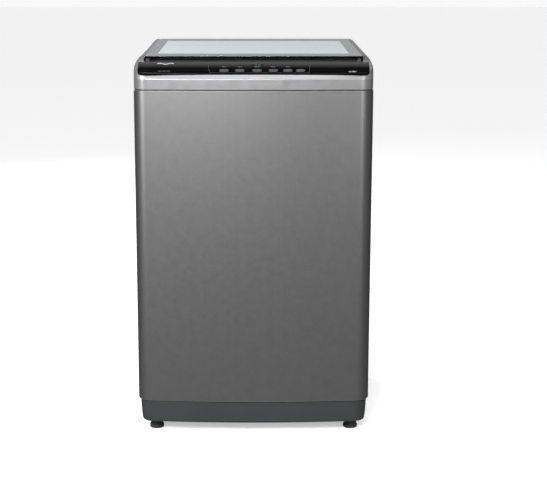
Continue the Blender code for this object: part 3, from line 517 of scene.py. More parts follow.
def body_points(inset=0.0, rear=REAR, fine=2):
    """The machine's outline from above, anticlockwise from the rear left, with normals."""
    half = WIDTH / 2
    front_radius = (half ** 2 + BOW ** 2) / (2 * BOW)
    corner = max(CORNER_RADIUS - inset, 0.004)
    reach = front_radius - inset - corner
    corner_x = half - inset - corner
    corner_y = FRONT + front_radius - math.sqrt(reach ** 2 - corner_x ** 2)
    lean = math.asin(corner_x / reach)
    down = 1.5 * math.pi
    back = max(REAR_RADIUS - inset, 0.004)
    back_x = half - inset - back
    back_y = rear - inset - back
    points = arc((-back_x, back_y), back, 0.5 * math.pi, math.pi, 5 * fine)
    points += arc((-corner_x, corner_y), corner, math.pi, down - lean, 8 * fine)
    points += arc((0.0, FRONT + front_radius), front_radius - inset,
                  down - lean, down + lean, 20 * fine)[1:-1]
    points += arc((corner_x, corner_y), corner, down + lean, 2 * math.pi, 8 * fine)
    points += arc((back_x, back_y), back, 0.0, 0.5 * math.pi, 5 * fine)
    return points


def body_outline(inset):
    return flat(body_points(inset))


def rounded(x_low, x_high, y_low, y_high, front, back, steps=8):
    """Rectangle with its own corner radius at the front and at the back."""
    quarter = 0.5 * math.pi
    points = arc((x_low + back, y_high - back), back, quarter, 2 * quarter, steps)
    points += arc((x_low + front, y_low + front), front, 2 * quarter, 3 * quarter, steps)
    points += arc((x_high - front, y_low + front), front, 3 * quarter, 4 * quarter, steps)
    points += arc((x_high - back, y_high - back), back, 0.0, quarter, steps)
    return flat(points)


def stadium(length, width, steps=12):
    """Bar with round ends."""
    radius = width / 2
    reach = length / 2 - radius
    quarter = 0.5 * math.pi
    points = arc((reach, 0.0), radius, -quarter, quarter, steps)
    points += arc((-reach, 0.0), radius, quarter, 3 * quarter, steps)
    return flat(points)


def circle(centre, radius, steps=32):
    return flat(arc(centre, radius, 0.0, 2 * math.pi, steps)[:-1])


def front_edge(x):
    """How far to the front the bowed panel reaches at x."""
    radius = (PANEL_HALF ** 2 + PANEL_BOW ** 2) / (2 * PANEL_BOW)
    return PANEL_FRONT + radius - math.sqrt(radius ** 2 - x ** 2)


def panel_outline(grow=0.0):
    half = PANEL_HALF + grow
    corner = 0.012
    edge = front_edge(half - corner) - grow
    turn = 1.5 * math.pi
    right = arc((half - corner, edge + corner), corner, 2 * math.pi, turn, 8)
    left = arc((-half + corner, edge + corner), corner, turn, math.pi, 8)
    points = [(-half, PANEL_BACK), (half, PANEL_BACK)]
    points += flat(right)
    count = 40
    for i in range(1, count):
        x = (half - corner) * (1 - 2 * i / count)
        points.append((x, front_edge(x) - grow))
    points += flat(left)
    return points


def glass_height(y):
    return LID_TOP_Z + (y - LID_FRONT) * LID_RISE


# --------------------------------------------------------------------------- raw shapes

def box(name, low, high, bevel=0.0, segments=2):
    work = bmesh.new()
    bmesh.ops.create_cube(work, size=1.0)
    bmesh.ops.scale(work, vec=Vector(high) - Vector(low), verts=work.verts)
    bmesh.ops.translate(work, vec=(Vector(high) + Vector(low)) / 2, verts=work.verts)
    if bevel:
        bmesh.ops.bevel(work, geom=work.edges[:], offset=bevel, segments=segments,
                        profile=0.5, affect="EDGES")
    return from_bmesh(name, work)


def cylinder(name, radius, start, end, segments=40, bevel=0.0):
    start = Vector(start)
    end = Vector(end)
    work = bmesh.new()
    bmesh.ops.create_cone(
        work, cap_ends=True, segments=segments, radius1=radius, radius2=radius,
        depth=(end - start).length)
    if bevel:
        rims = [e for e in work.edges if any(len(f.verts) > 4 for f in e.link_faces)]
        bmesh.ops.bevel(work, geom=rims, offset=bevel, segments=2, profile=0.5,
                        affect="EDGES")
    turn = (end - start).to_track_quat("Z", "Y").to_matrix().to_4x4()
    place = Matrix.Translation((start + end) / 2) @ turn
    bmesh.ops.transform(work, matrix=place, verts=work.verts)
    return from_bmesh(name, work)


def plate(name, outlines, low, high):
    """Flat solid between two heights. Further outlines are holes."""
    data = bpy.data.curves.new(name, "CURVE")
    data.dimensions = "2D"
    data.fill_mode = "BOTH"
    data.extrude = (high - low) / 2
    for points in outlines:
        line = data.splines.new("POLY")
        line.points.add(len(points) - 1)
        for item, (x, y) in zip(line.points, points):
            item.co = (x, y, 0.0, 1.0)
        line.use_cyclic_u = True
    drawn = add_object(name, data)
    drawn.location.z = (low + high) / 2
    made = settle(drawn)
    work = bmesh.new()
    work.from_mesh(made.data)
    bmesh.ops.remove_doubles(work, verts=work.verts, dist=0.000004)
    bmesh.ops.dissolve_limit(work, angle_limit=0.001, verts=work.verts, edges=work.edges)
    bmesh.ops.recalc_face_normals(work, faces=work.faces)
    work.to_mesh(made.data)
    work.free()
    return made


def turned(name, profile, centre=(0.0, AXIS_Y), steps=96, closed=True):
    """Turned piece: the profile runs down its outer side, and back up inside if closed."""
    count = len(profile)
    edges = [(i, i + 1) for i in range(count - 1)]
    if closed:
        edges.append((count - 1, 0))
    mesh = bpy.data.meshes.new(name)
    mesh.from_pydata([(r, 0.0, z) for r, z in profile], edges, [])
    obj = add_object(name, mesh)
    obj.location = (centre[0], centre[1], 0.0)
    step = obj.modifiers.new("turn", "SCREW")
    step.angle = 2 * math.pi
    step.steps = steps
    step.render_steps = steps
    step.use_merge_vertices = True
    step.merge_threshold = 0.00001
    return settle(obj)


def loft(name, rings):
    """Closed skin over rings that all have the same number of points."""
    work = bmesh.new()
    loops = [[work.verts.new(point) for point in ring] for ring in rings]
    count = len(loops[0])
    for lower, upper in zip(loops, loops[1:]):
        for i in range(count):
            j = (i + 1) % count
            work.faces.new((lower[i], lower[j], upper[j], upper[i]))
    work.faces.new(list(reversed(loops[0])))
    work.faces.new(loops[-1])
    return from_bmesh(name, work)


def trim(obj, point, normal):
    """Cut off what lies beyond a plane, and close the cut."""
    work = bmesh.new()
    work.from_mesh(obj.data)
    everything = work.verts[:] + work.edges[:] + work.faces[:]
    bmesh.ops.bisect_plane(work, geom=everything, dist=0.0000005, plane_co=point,
                           plane_no=normal, clear_outer=True)
    rim = [edge for edge in work.edges if edge.is_boundary]
    bmesh.ops.holes_fill(work, edges=rim, sides=0)
    bmesh.ops.recalc_face_normals(work, faces=work.faces)
    work.to_mesh(obj.data)
    work.free()
    return obj


def wire(name, points, radius, sides):
    """Round wire through points."""
    data = bpy.data.curves.new(name, "CURVE")
    data.dimensions = "3D"
    data.bevel_depth = radius
    data.bevel_resolution = sides
    data.use_fill_caps = True
    line = data.splines.new("POLY")
    line.points.add(len(points) - 1)
    for item, point in zip(line.points, points):
        item.co = (*point, 1.0)
    return settle(add_object(name, data))


def lean(obj, angle, x, y, z):
    """Tilt an object about X, and put its origin at (x, y, z)."""
    obj.matrix_world = Matrix.Translation((x, y, z)) @ Matrix.Rotation(angle, 4, "X")
    return settle(obj)


def panel_point(x, along, height):
    """Point on the panel's slope: across, up along it, and off its face."""
    base = Vector((x, PANEL_FRONT, PANEL_FRONT_Z))
    return base + PANEL_SLOPE * along + PANEL_UP * height


def on_panel(name, outlines, x, along, low, high):
    return lean(plate(name, outlines, low, high), PANEL_ANGLE, *panel_point(x, along, 0.0))


def fill_box(name, node, look, width, segments):
    """Softened block on the cabinet that fills a node's box."""
    block = soften(box(name, *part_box(node)), width, segments)
    piece(block, "cabinet", look, node)


def ring_points(radius, count, z, start=0.0, centre=(0.0, AXIS_Y)):
    """Equally spaced points on a level circle."""
    return [(centre[0] + radius * math.cos(a), centre[1] + radius * math.sin(a), z)
            for a in around(count, start)]


def lid_plane(drop):
    return Vector((0.0, LID_FRONT, LID_TOP_Z - drop)), Vector((0.0, -LID_RISE, 1.0))


def merged(name, parts):
    """Several loose shapes as one object."""
    work = bmesh.new()
    for part in parts:
        work.from_mesh(part.data)
        bpy.data.objects.remove(part)
    return from_bmesh(name, work, tidy=False)


def sweep(name, path, profile, closed=False):
    """Carry a closed profile of (inset, z) along a path of (x, y, nx, ny)."""
    work = bmesh.new()
    loops = []
    for x, y, nx, ny in path:
        loops.append([work.verts.new((x - nx * inset, y - ny * inset, z))
                      for inset, z in profile])
    pairs = list(zip(loops, loops[1:]))
    if closed:
        pairs.append((loops[-1], loops[0]))
    count = len(profile)
    for first, second in pairs:
        for i in range(count):
            j = (i + 1) % count
            work.faces.new((first[i], first[j], second[j], second[i]))
    if not closed:
        work.faces.new(loops[0])
        work.faces.new(list(reversed(loops[-1])))
    return from_bmesh(name, work)


def grid(name, columns, rows, point):
    """Open sheet through point(u, v), with u and v from 0 to 1."""
    work = bmesh.new()
    verts = [[work.verts.new(point(i / columns, j / rows)) for i in range(columns + 1)]
             for j in range(rows + 1)]
    for j in range(rows):
        for i in range(columns):
            work.faces.new((verts[j][i], verts[j][i + 1], verts[j + 1][i + 1],
                            verts[j + 1][i]))
    return from_bmesh(name, work, tidy=False)


# ------------------------------------------------------------------------------ cabinet

def build_cabinet():
    """Painted wrap with rolled upper and lower edges, open at the rear."""
    rear = REAR - 0.0013
    flange = 0.226
    path = [(-flange, rear, 0.0, 1.0)] + body_points(0.0, rear, 3)
    path += [(flange, rear, 0.0, 1.0)]
    low = SHELL_LOW[2]
    high = SHELL_HIGH[2]
    profile = [(0.0028, low), (0.0010, low + 0.0003), (0.0003, low + 0.0010), (0.0, low + 0.0024)]
    profile += [(0.0, low + (high - low) * i / 6) for i in range(1, 6)]
    profile += [(0.0, high - 0.0008), (0.0001, high - 0.0003), (0.0004, high - 0.0001),
                (0.0008, high), (0.0028, high), (0.0028, high - 0.0009), (0.0009, high - 0.0009),
                (0.0009, low + 0.0030), (0.0028, low + 0.0012)]
    shell = sweep("cabinet_wrap", path, profile)
    piece(shell, "cabinet", "cabinet_paint", "cabinet_shell", sharp=40)


def screw_mesh(name, radius):
    """Pan head screw with a cross recess, its head up from z = 0."""
    profile = [(0.0, 0.55), (0.45, 0.50), (0.80, 0.32), (1.0, 0.05), (1.0, 0.0), (0.0, 0.0)]
    head = turned(name, [(r * radius, z * radius) for r, z in profile], (0.0, 0.0), 24,
                  closed=False)
    arm = radius * 0.62
    slot = radius * 0.13
    tools = [box("slot_a", (-arm, -slot, radius * 0.22), (arm, slot, radius)),
             box("slot_b", (-slot, -arm, radius * 0.22), (slot, arm, radius))]
    return cut(head, *tools)


def screws(name, points, direction, body, radius=0.0036, look="zinc_steel"):
    """A set of equal screws that all point the same way."""
    first = screw_mesh(name + "_head", radius)
    turn = Vector(direction).to_track_quat("Z", "Y").to_matrix().to_4x4()
    work = bmesh.new()
    for i, point in enumerate(points):
        start = len(work.verts)
        work.from_mesh(first.data)
        work.verts.ensure_lookup_table()
        spin = Matrix.Rotation(0.7 * i, 4, "Z")
        bmesh.ops.transform(work, matrix=Matrix.Translation(point) @ turn @ spin,
                            verts=work.verts[start:])
    bpy.data.objects.remove(first)
    return piece(from_bmesh(name, work, tidy=False), body, look)


def build_rear_panel():
    """Rear sheet with stamped ribs, a rim and its screws."""
    x_low, x_high = REAR_LOW[0], REAR_HIGH[0]
    z_low, z_high = REAR_LOW[2], REAR_HIGH[2]
    depth = 0.0022

    def ramp(distance, width=0.007):
        return max(0.0, min(1.0, distance / width))

    def relief(x, z):
        edge = min(x - x_low, x_high - x, z - z_low, z_high - z)
        field = ramp(edge - 0.030)
        ribs = 0.0
        for centre in (0.24, 0.40, 0.56, 0.68):
            away = abs(z - centre)
            span = 0.175 - abs(x)
            ribs = max(ribs, ramp(0.013 - away, 0.006) * ramp(span, 0.012))
        return depth * (0.55 * field - 0.55 * ribs * field)

    columns, rows = 130, 170

    def point(u, v):
        x = x_low + (x_high - x_low) * u
        z = z_low + (z_high - z_low) * v
        return (x, REAR - 0.0006 + relief(x, z), z)

    sheet = grid("rear_sheet", columns, rows, point)
    thick = sheet.modifiers.new("thickness", "SOLIDIFY")
    thick.thickness = 0.0006
    thick.offset = -1.0
    sheet = settle(sheet)
    hole = cylinder("drain_opening", 0.0175, (-0.180, REAR - 0.02, 0.130),
                    (-0.180, REAR + 0.02, 0.130))
    sheet = cut(sheet, hole)
    piece(sheet, "cabinet", "zinc_steel", "rear_panel", sharp=30)
    places = [(side * 0.243, REAR, z) for side in (-1, 1)
              for z in (0.100, 0.270, 0.450, 0.630, 0.795)]
    places += [(x, REAR, z) for x in (-0.12, 0.0, 0.12) for z in (0.092, 0.803)]
    screws("rear_screws", places, (0, 1, 0), "cabinet")


def build_base():
    """Plinth with a rounded lower edge, a shadow step under the cabinet and ribs inside."""
    levels = ((0.0265, 0.0120), (0.0270, 0.0107), (0.0285, 0.0093), (0.0312, 0.0083),
              (0.0360, 0.0076), (0.0500, 0.0062), (0.0650, 0.0053), (0.0780, 0.0046),
              (0.0788, 0.0050), (0.0790, 0.0075), (0.0805, 0.0075))
    base = loft("plinth", [[(x, y, z) for x, y in body_outline(inset)]
                           for z, inset in levels])
    hole = plate("plinth_hole", [body_outline(0.045)], 0.0, 0.1)
    groove = plate("plinth_groove", [body_outline(0.0122), body_outline(0.042)], 0.0, 0.0765)
    base = cut(base, hole, groove)
    centres = [(side * FOOT_X, y) for side in (-1, 1) for y in (-0.222, 0.225)]
    bosses = [cylinder("boss", 0.019, (x, y, 0.0266), (x, y, 0.0795), 36)
              for x, y in centres]
    base = join(base, *bosses)
    bores = [cylinder("bore", 0.0054, (x, y, 0.0), (x, y, 0.076), 24) for x, y in centres]
    base = cut(base, *bores)
    piece(base, "cabinet", "base_plastic", "base_frame", sharp=28)
    ribs = []
    for side in (-1, 1):
        for i in range(9):
            y = -0.165 + 0.042 * i
            edges = sorted((side * 0.2345, side * 0.2620))
            ribs.append(box("rib", (edges[0], y - 0.001, 0.031), (edges[1], y + 0.001, 0.0765)))
    for i in range(9):
        x = -0.168 + 0.042 * i
        ribs.append(box("rib", (x - 0.001, 0.2300, 0.031), (x + 0.001, 0.2580, 0.0765)))
    piece(merged("plinth_ribs", ribs), "cabinet", "base_plastic")


def build_feet():
    """Screw-in feet: rubber pad with grooves, hexagon and threaded stem."""
    pad = [(0.0, 0.0095), (0.0142, 0.0095), (0.0162, 0.0088), (0.0170, 0.0076),
           (0.0170, 0.0064), (0.0164, 0.0060), (0.0164, 0.0054), (0.0170, 0.0050),
           (0.0170, 0.0036), (0.0164, 0.0032), (0.0164, 0.0026), (0.0170, 0.0022),
           (0.0170, 0.0010), (0.0160, 0.0), (0.0, 0.0)]
    for side, across in SIDES:
        centre = (side * FOOT_X, -0.222)
        body = "front_foot_" + across
        rubber_pad = turned("foot_pad_" + across, pad, centre, 48, closed=False)
        piece(rubber_pad, body, "rubber", "front_foot_" + across, sharp=50)
        hexagon = cylinder("foot_hexagon_" + across, 0.0165, (*centre, 0.0096),
                           (*centre, 0.0225), 6)
        piece(soften(hexagon, 0.0010, 3), body, "base_plastic")
        thread = [(0.0, 0.062), (0.0036, 0.062), (0.0046, 0.061)]
        z = 0.0604
        while z > 0.0240:
            thread += [(0.0050, z), (0.0044, z - 0.0006)]
            z -= 0.0012
        thread += [(0.0050, 0.0226), (0.0, 0.0226)]
        stem = turned("foot_stem_" + across, thread, centre, 32, closed=False)
        piece(stem, body, "zinc_steel", sharp=60)

        centre = (side * FOOT_X, 0.225)
        fixed = [(0.0, 0.062), (0.0050, 0.062), (0.0050, 0.0262), (0.0128, 0.0262),
                 (0.0136, 0.0225), (0.0146, 0.0150), (0.0158, 0.0098)] + pad[3:]
        rear = turned("rear_pad_" + across, fixed, centre, 48, closed=False)
        piece(rear, "cabinet", "rubber", "rear_foot_" + across, sharp=50)


# ---------------------------------------------------------------- top cover and panel

def cover_ring(edge, roll, height, step=0.0):
    """One level of the moulding: leaning in by edge, rolled in by roll, stepped in by step."""
    ring = []
    for x, y, nx, ny in body_points():
        front = max(0.0, -ny)
        lean_in = front ** 2 * (0.0115 - 0.0075 * (x / (WIDTH / 2)) ** 2)
        inset = 0.0008 + step + edge * lean_in
        inset += roll * (0.019 * nx * nx + 0.006 * max(0.0, ny) ** 2 + 0.019 * front ** 2)
        inset += roll * 0.010 * max(0.0, -2 * abs(nx) * -ny) ** 2
        px = x - nx * inset
        py = y - ny * inset
        ring.append((px, py, height(py)))
    return ring


def rim_height(y):
    return glass_height(y) - RIM_DROP


def throat_outline(grow):
    low, high, front, back = THROAT
    radius = THROAT_RADIUS + grow
    return rounded(low - grow, high + grow, front - grow, back + grow, radius, radius, 16)


def build_cover():
    """Silver moulding: body, lid recess, panel pocket, hollow underside and collar."""
    bottom = SHELL_HIGH[2] + GAP
    rise = 0.032
    rings = [cover_ring(0.0, 0.0, lambda y: bottom, 0.0022),
             cover_ring(0.0, 0.0, lambda y: bottom + 0.0018, 0.0022),
             cover_ring(0.0, 0.0, lambda y: bottom + 0.0021, 0.0003),
             cover_ring(0.0, 0.0, lambda y: bottom + 0.0027),
             cover_ring(0.0, 0.0, lambda y: CREASE - 0.0014),
             cover_ring(0.02, 0.0, lambda y: CREASE - 0.0004),
             cover_ring(0.10, 0.0, lambda y: CREASE + 0.0008),
             cover_ring(1.0, 0.0, lambda y: 0.8530)]
    steps = 12
    for step in range(steps):
        angle = 0.5 * math.pi * step / (steps - 1)
        up = rise * math.sin(angle) + 0.001 - rise
        rings.append(cover_ring(1.0, 1 - math.cos(angle), lambda y, up=up: rim_height(y) + up))
    cover = loft("top_moulding", rings)
    trim(cover, *lid_plane(RIM_DROP))

    slope = lean(box("slope", (-0.4, -0.15, 0.0), (0.4, 0.25, 0.2)), PANEL_ANGLE,
                 0.0, PANEL_FRONT, PANEL_FRONT_Z)
    recess = plate("recess", [rounded(-RECESS_HALF, RECESS_HALF, PANEL_BACK, RECESS_BACK,
                                      0.004, 0.003)], 0.80, 1.0)
    point, normal = lid_plane(DECK_DROP)
    trim(recess, point, -normal)
    seat = panel_point(0.0, 0.0, -PANEL_THICK - GAP)
    pocket = trim(plate("pocket", [panel_outline(GAP)], 0.80, 1.0), seat, -PANEL_UP)
    back = trim(box("pocket_back", (-PANEL_HALF - GAP, PANEL_BACK - 0.001, 0.84),
                    (PANEL_HALF + GAP, PANEL_BACK + GAP, 0.9)), seat, -PANEL_UP)
    hollow = plate("hollow", [body_outline(0.004)], 0.78, 1.0)
    trim(hollow, *lid_plane(DECK_DROP + WALL))
    trim(hollow, seat - PANEL_UP * WALL, PANEL_UP)
    cover = cut(cover, slope, recess, pocket, back, hollow)

    collar = plate("collar", [throat_outline(WALL)], 0.785, 0.95)
    trim(collar, *lid_plane(DECK_DROP + 0.001))
    cover = join(cover, collar)
    tools = [
        plate("throat", [throat_outline(0.0)], 0.75, 1.0),
        box("drawer_window", (-0.0755, THROAT[3] - 0.030, 0.834),
            (0.0755, THROAT[3] + 0.010, 0.8715)),
        on_panel("button_window", [rounded(-0.100, 0.135, 0.008, 0.052, 0.003, 0.003)],
                 0.0, 0.0, -0.03, 0.01),
        cylinder("valve_hole", 0.0135, (0.160, 0.255, 0.848), (0.160, 0.300, 0.848)),
        cylinder("gland_hole", 0.0085, (-0.200, 0.255, 0.842), (-0.200, 0.300, 0.842))]
    for side in (-1, 1):
        tools.append(cylinder("hinge_bore", 0.0033, (side * 0.245, *HINGE.yz),
                              (side * 0.264, *HINGE.yz), 24))
    cover = cut(cover, *tools)
    cover = soften(cover, 0.00025, 2, 38.0)
    piece(cover, "cabinet", "silver_plastic", "top_cover", sharp=38)
    # Painted shade: a dark rubber strip in the step under the moulding, standing in for the shadow
    # of the seam.
    shade_strip = plate("seam_shade_strip", [body_outline(0.0022), body_outline(0.0030)],
                 bottom + 0.0002, bottom + 0.0017)
    piece(shade_strip, "cabinet", "rubber", sharp=40)
    places = [(x, 0.2702, 0.826) for x in (-0.24, -0.08, 0.08, 0.24)]
    screws("cover_screws", places, (0, 1, 0), "cabinet", 0.0040)


def button_shape(name):
    """Oval key with a raised, slightly domed face."""
    x = middle(name)[0]
    rings = []
    for inset, height in ((0.0003, -0.0050), (0.0, -0.0046), (0.0, 0.0002), (0.0003, 0.0006),
                          (0.0009, 0.0008), (0.0022, 0.00092), (0.0040, 0.00096)):
        rings.append([(px, py, height)
                      for px, py in stadium(0.0215 - 2 * inset, 0.0105 - 2 * inset, 16)])
    key = loft(name + "_key", rings)
    key = lean(key, PANEL_ANGLE, *panel_point(x, BUTTON_ALONG, 0.0))
    return key, x


def strip(name, x, along, length, width, height=MARK_HIGH, tilt=0.0):
    """Thin printed bar on the panel."""
    outline = []
    for px, py in stadium(length, width, 4):
        outline.append((px * math.cos(tilt) - py * math.sin(tilt),
                        px * math.sin(tilt) + py * math.cos(tilt)))
    return on_panel(name, [outline], x, along, MARK_LOW, height)


def ring_mark(name, x, along, radius, line):
    return on_panel(name, [circle((0.0, 0.0), radius, 28),
                           circle((0.0, 0.0), radius - line, 28)], x, along, MARK_LOW, MARK_HIGH)


def build_panel():
    """Gloss black panel with keys, window, and plain printed marks."""
    panel = plate("panel_plate", [panel_outline()], 0.80, 0.95)
    trim(panel, panel_point(0.0, 0.0, 0.0), PANEL_UP)
    trim(panel, panel_point(0.0, 0.0, -PANEL_THICK), -PANEL_UP)
    keys = [(name, *button_shape(name)) for name in BUTTONS]
    tools = [on_panel("key_hole", [stadium(0.0223, 0.0113, 16)], x, BUTTON_ALONG, -0.02, 0.02)
             for name, key, x in keys]
    window = rounded(-0.0133, 0.0133, -0.0063, 0.0063, 0.0018, 0.0018, 4)
    tools.append(on_panel("window_slot", [window], WINDOW_X, WINDOW_ALONG, -0.0029, 0.02))
    panel = soften(cut(panel, *tools), 0.0006, 3)
    piece(panel, "cabinet", "black_panel", "control_panel")
    for name, key, x in keys:
        piece(key, name, "button_plastic", name, sharp=50)

    lens = on_panel("display_lens", [rounded(-0.0130, 0.0130, -0.0060, 0.0060, 0.0016, 0.0016, 4)],
                    WINDOW_X, WINDOW_ALONG, -0.0026, 0.0)
    piece(soften(lens, 0.0003), "cabinet", "display", "display_window")
    build_digits()
    build_marks(keys)
    build_key_lights(keys)
    fill_box("electronics_case", "control_box", "dark_plastic", 0.002, 3)


def build_marks(keys):
    """Printed marks on the panel: a wave line, rings and bars, bright and faint."""
    marks = []
    wave = []
    count = 36
    for i in range(count + 1):
        wave.append((-0.019 + 0.038 * i / count, 0.0024 * math.sin(3 * math.pi * i / count)))
    upper = [(x, y + 0.0014) for x, y in wave]
    lower = [(x, y - 0.0014) for x, y in reversed(wave)]
    marks.append(on_panel("wave", [upper + lower], -0.2020, 0.0490, MARK_LOW, MARK_HIGH))
    marks.append(ring_mark("mark", 0.2190, 0.0130, 0.0030, 0.0007))
    marks.append(strip("mark", 0.2290, 0.0145, 0.0110, 0.0012))
    marks.append(strip("mark", 0.2275, 0.0115, 0.0080, 0.0010))
    piece(merged("panel_marks", marks), "cabinet", "marking", sharp=None)

    faint = []
    for name, key, x in keys[:5]:
        faint.append(strip("mark", x, BUTTON_ALONG + 0.0150, 0.0110, 0.0010))
        faint.append(strip("mark", x - 0.0020, BUTTON_ALONG + 0.0180, 0.0062, 0.0010))
        faint.append(strip("mark", x + 0.0038, BUTTON_ALONG + 0.0180, 0.0024, 0.0010))
    for side, x in ((-1, -0.102), (1, 0.128)):
        slant = math.radians(90 - side * 6)
        faint.append(strip("line", x, 0.0300, 0.0440, 0.0005, tilt=slant))
    faint.append(strip("line", 0.0130, 0.0075, 0.2260, 0.0004))
    for i, x in enumerate((-0.213, -0.203, -0.193)):
        faint.append(ring_mark("mark", x, 0.0150, 0.0034, 0.0006))
        faint.append(strip("mark", x, 0.0150, 0.0034, 0.0008, tilt=0.6 * i))
    piece(merged("panel_faint_marks", faint), "cabinet", "faint_marking", sharp=None)


def build_key_lights(keys):
    """Lit marks on the start key and the power key."""
    start_x, power_x = keys[4][2], keys[5][2]
    pause = [strip("pause_mark", start_x + shift, BUTTON_ALONG, 0.0052, 0.0010, 0.00125, UPRIGHT)
             for shift in (-0.0012, 0.0012)]
    piece(merged("start_light", pause), "start_pause_button", "blue_light", sharp=None)
    power = [on_panel("power_ring", [circle((0, 0), 0.0028, 24), circle((0, 0), 0.0021, 24)],
                      power_x, BUTTON_ALONG, 0.0009, 0.00125),
             strip("power_bar", power_x, BUTTON_ALONG + 0.0016, 0.0034, 0.0008, 0.00130, UPRIGHT)]
    piece(merged("power_light", power), "power_button", "red_light", sharp=None)


def build_digits():
    """Dark seven-bar digits behind the display window."""
    bars = []
    for digit in (-1, 1):
        centre = WINDOW_X + digit * 0.0042
        for up in (-0.0036, 0.0, 0.0036):
            bars.append(strip("bar", centre, WINDOW_ALONG + up, 0.0036, 0.0007))
        for side in (-0.0021, 0.0021):
            for up in (-0.0018, 0.0018):
                bars.append(strip("bar", centre + side, WINDOW_ALONG + up, 0.0030, 0.0007,
                                  tilt=UPRIGHT))
    piece(merged("display_digits", bars), "cabinet", "faint_marking", sharp=None)


# ---------------------------------------------------------------------------------- lid

def lid_plate(name, outlines, low, high):
    return lean(plate(name, outlines, low, high), LID_ANGLE, 0.0, LID_FRONT,
                LID_TOP_Z - GLASS_THICK)


def build_lid():
    """Glass with its printed border and its pale middle on top."""
    outline = rounded(-LID_HALF, LID_HALF, 0.0, LID_LENGTH, 0.008, 0.018, 12)
    glass = lid_plate("lid_pane", [outline], 0.0, GLASS_THICK - 0.0003)
    glass = soften(glass, 0.0008, 3)
    piece(glass, "lid", "glass", "lid_glass", sharp=60)

    edge = 0.0012
    inner = rounded(-LID_HALF + PRINT_SIDE, LID_HALF - PRINT_SIDE, PRINT_FRONT,
                    LID_LENGTH - PRINT_BACK, 0.006, 0.006)
    border = lid_plate("lid_print", [
        rounded(-LID_HALF + edge, LID_HALF - edge, edge, LID_LENGTH - edge, 0.007, 0.017, 12),
        inner], GLASS_THICK - 0.00025, GLASS_THICK)
    piece(border, "lid", "print", sharp=None)
    centre = lid_plate("lid_frost", [inner], GLASS_THICK - 0.00022, GLASS_THICK - 0.00005)
    piece(centre, "lid", "frost", sharp=None)


def build_lid_frame():
    """Moulded carrier under the glass, with ribs and the bores for the pins."""
    half = LID_HALF - 0.004
    start = 0.022
    stop = LID_LENGTH - 0.001
    ring = lid_plate("lid_carrier", [
        rounded(-half, half, start, stop, 0.010, 0.014),
        rounded(-half + FRAME_BAR, half - FRAME_BAR, start + FRAME_BAR,
                stop - FRAME_BAR - 0.010, 0.012, 0.012)], -FRAME_THICK - GAP, -GAP)
    bores = [cylinder("bore", 0.0034, (side * 0.232, *HINGE.yz), (side * 0.26, *HINGE.yz), 24)
             for side in (-1, 1)]
    ring = soften(cut(ring, *bores), 0.0010, 2)
    piece(ring, "lid", "dark_plastic", "lid_frame")

    ribs = []
    for i in range(11):
        x = -0.200 + 0.040 * i
        ribs.append(lid_plate("rib", [[(x - 0.0008, start + 0.006), (x + 0.0008, start + 0.006),
                                       (x + 0.0008, start + 0.022), (x - 0.0008, start + 0.022)]],
                              -FRAME_THICK - 0.0016, -FRAME_THICK))
    piece(merged("lid_carrier_ribs", ribs), "lid", "dark_plastic")


def build_lid_fittings():
    """Hinge pins, bumpers and the switch, which stay on the cabinet."""
    for side, across in SIDES:
        pin = cylinder("pin_" + across, 0.003, (side * 0.2335, *HINGE.yz),
                       (side * 0.2635, *HINGE.yz), 32, 0.0005)
        piece(pin, "cabinet", "zinc_steel", "hinge_pin_" + across)
        fill_box("bumper_" + across, "lid_bumper_" + across, "rubber", 0.0014, 4)
    fill_box("switch_case", "lid_switch", "white_plastic", 0.0008, 2)


# ---------------------------------------------------------------- water and connections

def build_drawer():
    """Detergent drawer with three rooms and a finger grip, in its housing."""
    low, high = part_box("detergent_housing")
    drawer_low, drawer_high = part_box("detergent_drawer")
    shell = box("housing", low, high)
    inside = box("housing_room", (drawer_low[0] - 0.0015, 0.10, drawer_low[2] - 0.0015),
                 (drawer_high[0] + 0.0015, high[1] - 0.004, drawer_high[2] + 0.0025))
    shell = soften(cut(shell, inside), 0.0015, 3)
    piece(shell, "cabinet", "white_plastic", "detergent_housing")

    front = drawer_low[1]
    tray = box("drawer", drawer_low, drawer_high)
    walls = (-0.0235, 0.0235)
    starts = (drawer_low[0] + 0.002, walls[0] + 0.0008, walls[1] + 0.0008)
    ends = (walls[0] - 0.0008, walls[1] - 0.0008, drawer_high[0] - 0.002)
    rooms = [box("room", (a, front + 0.003, drawer_low[2] + 0.002),
                 (b, drawer_high[1] - 0.002, drawer_high[2] + 0.01))
             for a, b in zip(starts, ends)]
    grip = cylinder("grip", 0.016, (0.0, front - 0.0125, drawer_high[2] + 0.004),
                    (0.0, front + 0.0015, drawer_high[2] + 0.004), 48)
    tray = soften(cut(tray, *rooms, grip), 0.0007, 2)
    piece(tray, "detergent_drawer", "white_plastic", "detergent_drawer")
    line = [box("fill_line", (x, front + 0.02, drawer_low[2] + 0.0022),
                (x + 0.0012, drawer_high[1] - 0.012, drawer_low[2] + 0.0030))
            for x in (-0.052, -0.040, -0.008, 0.006, 0.040, 0.052)]
    piece(merged("drawer_ribs", line), "detergent_drawer", "white_plastic")


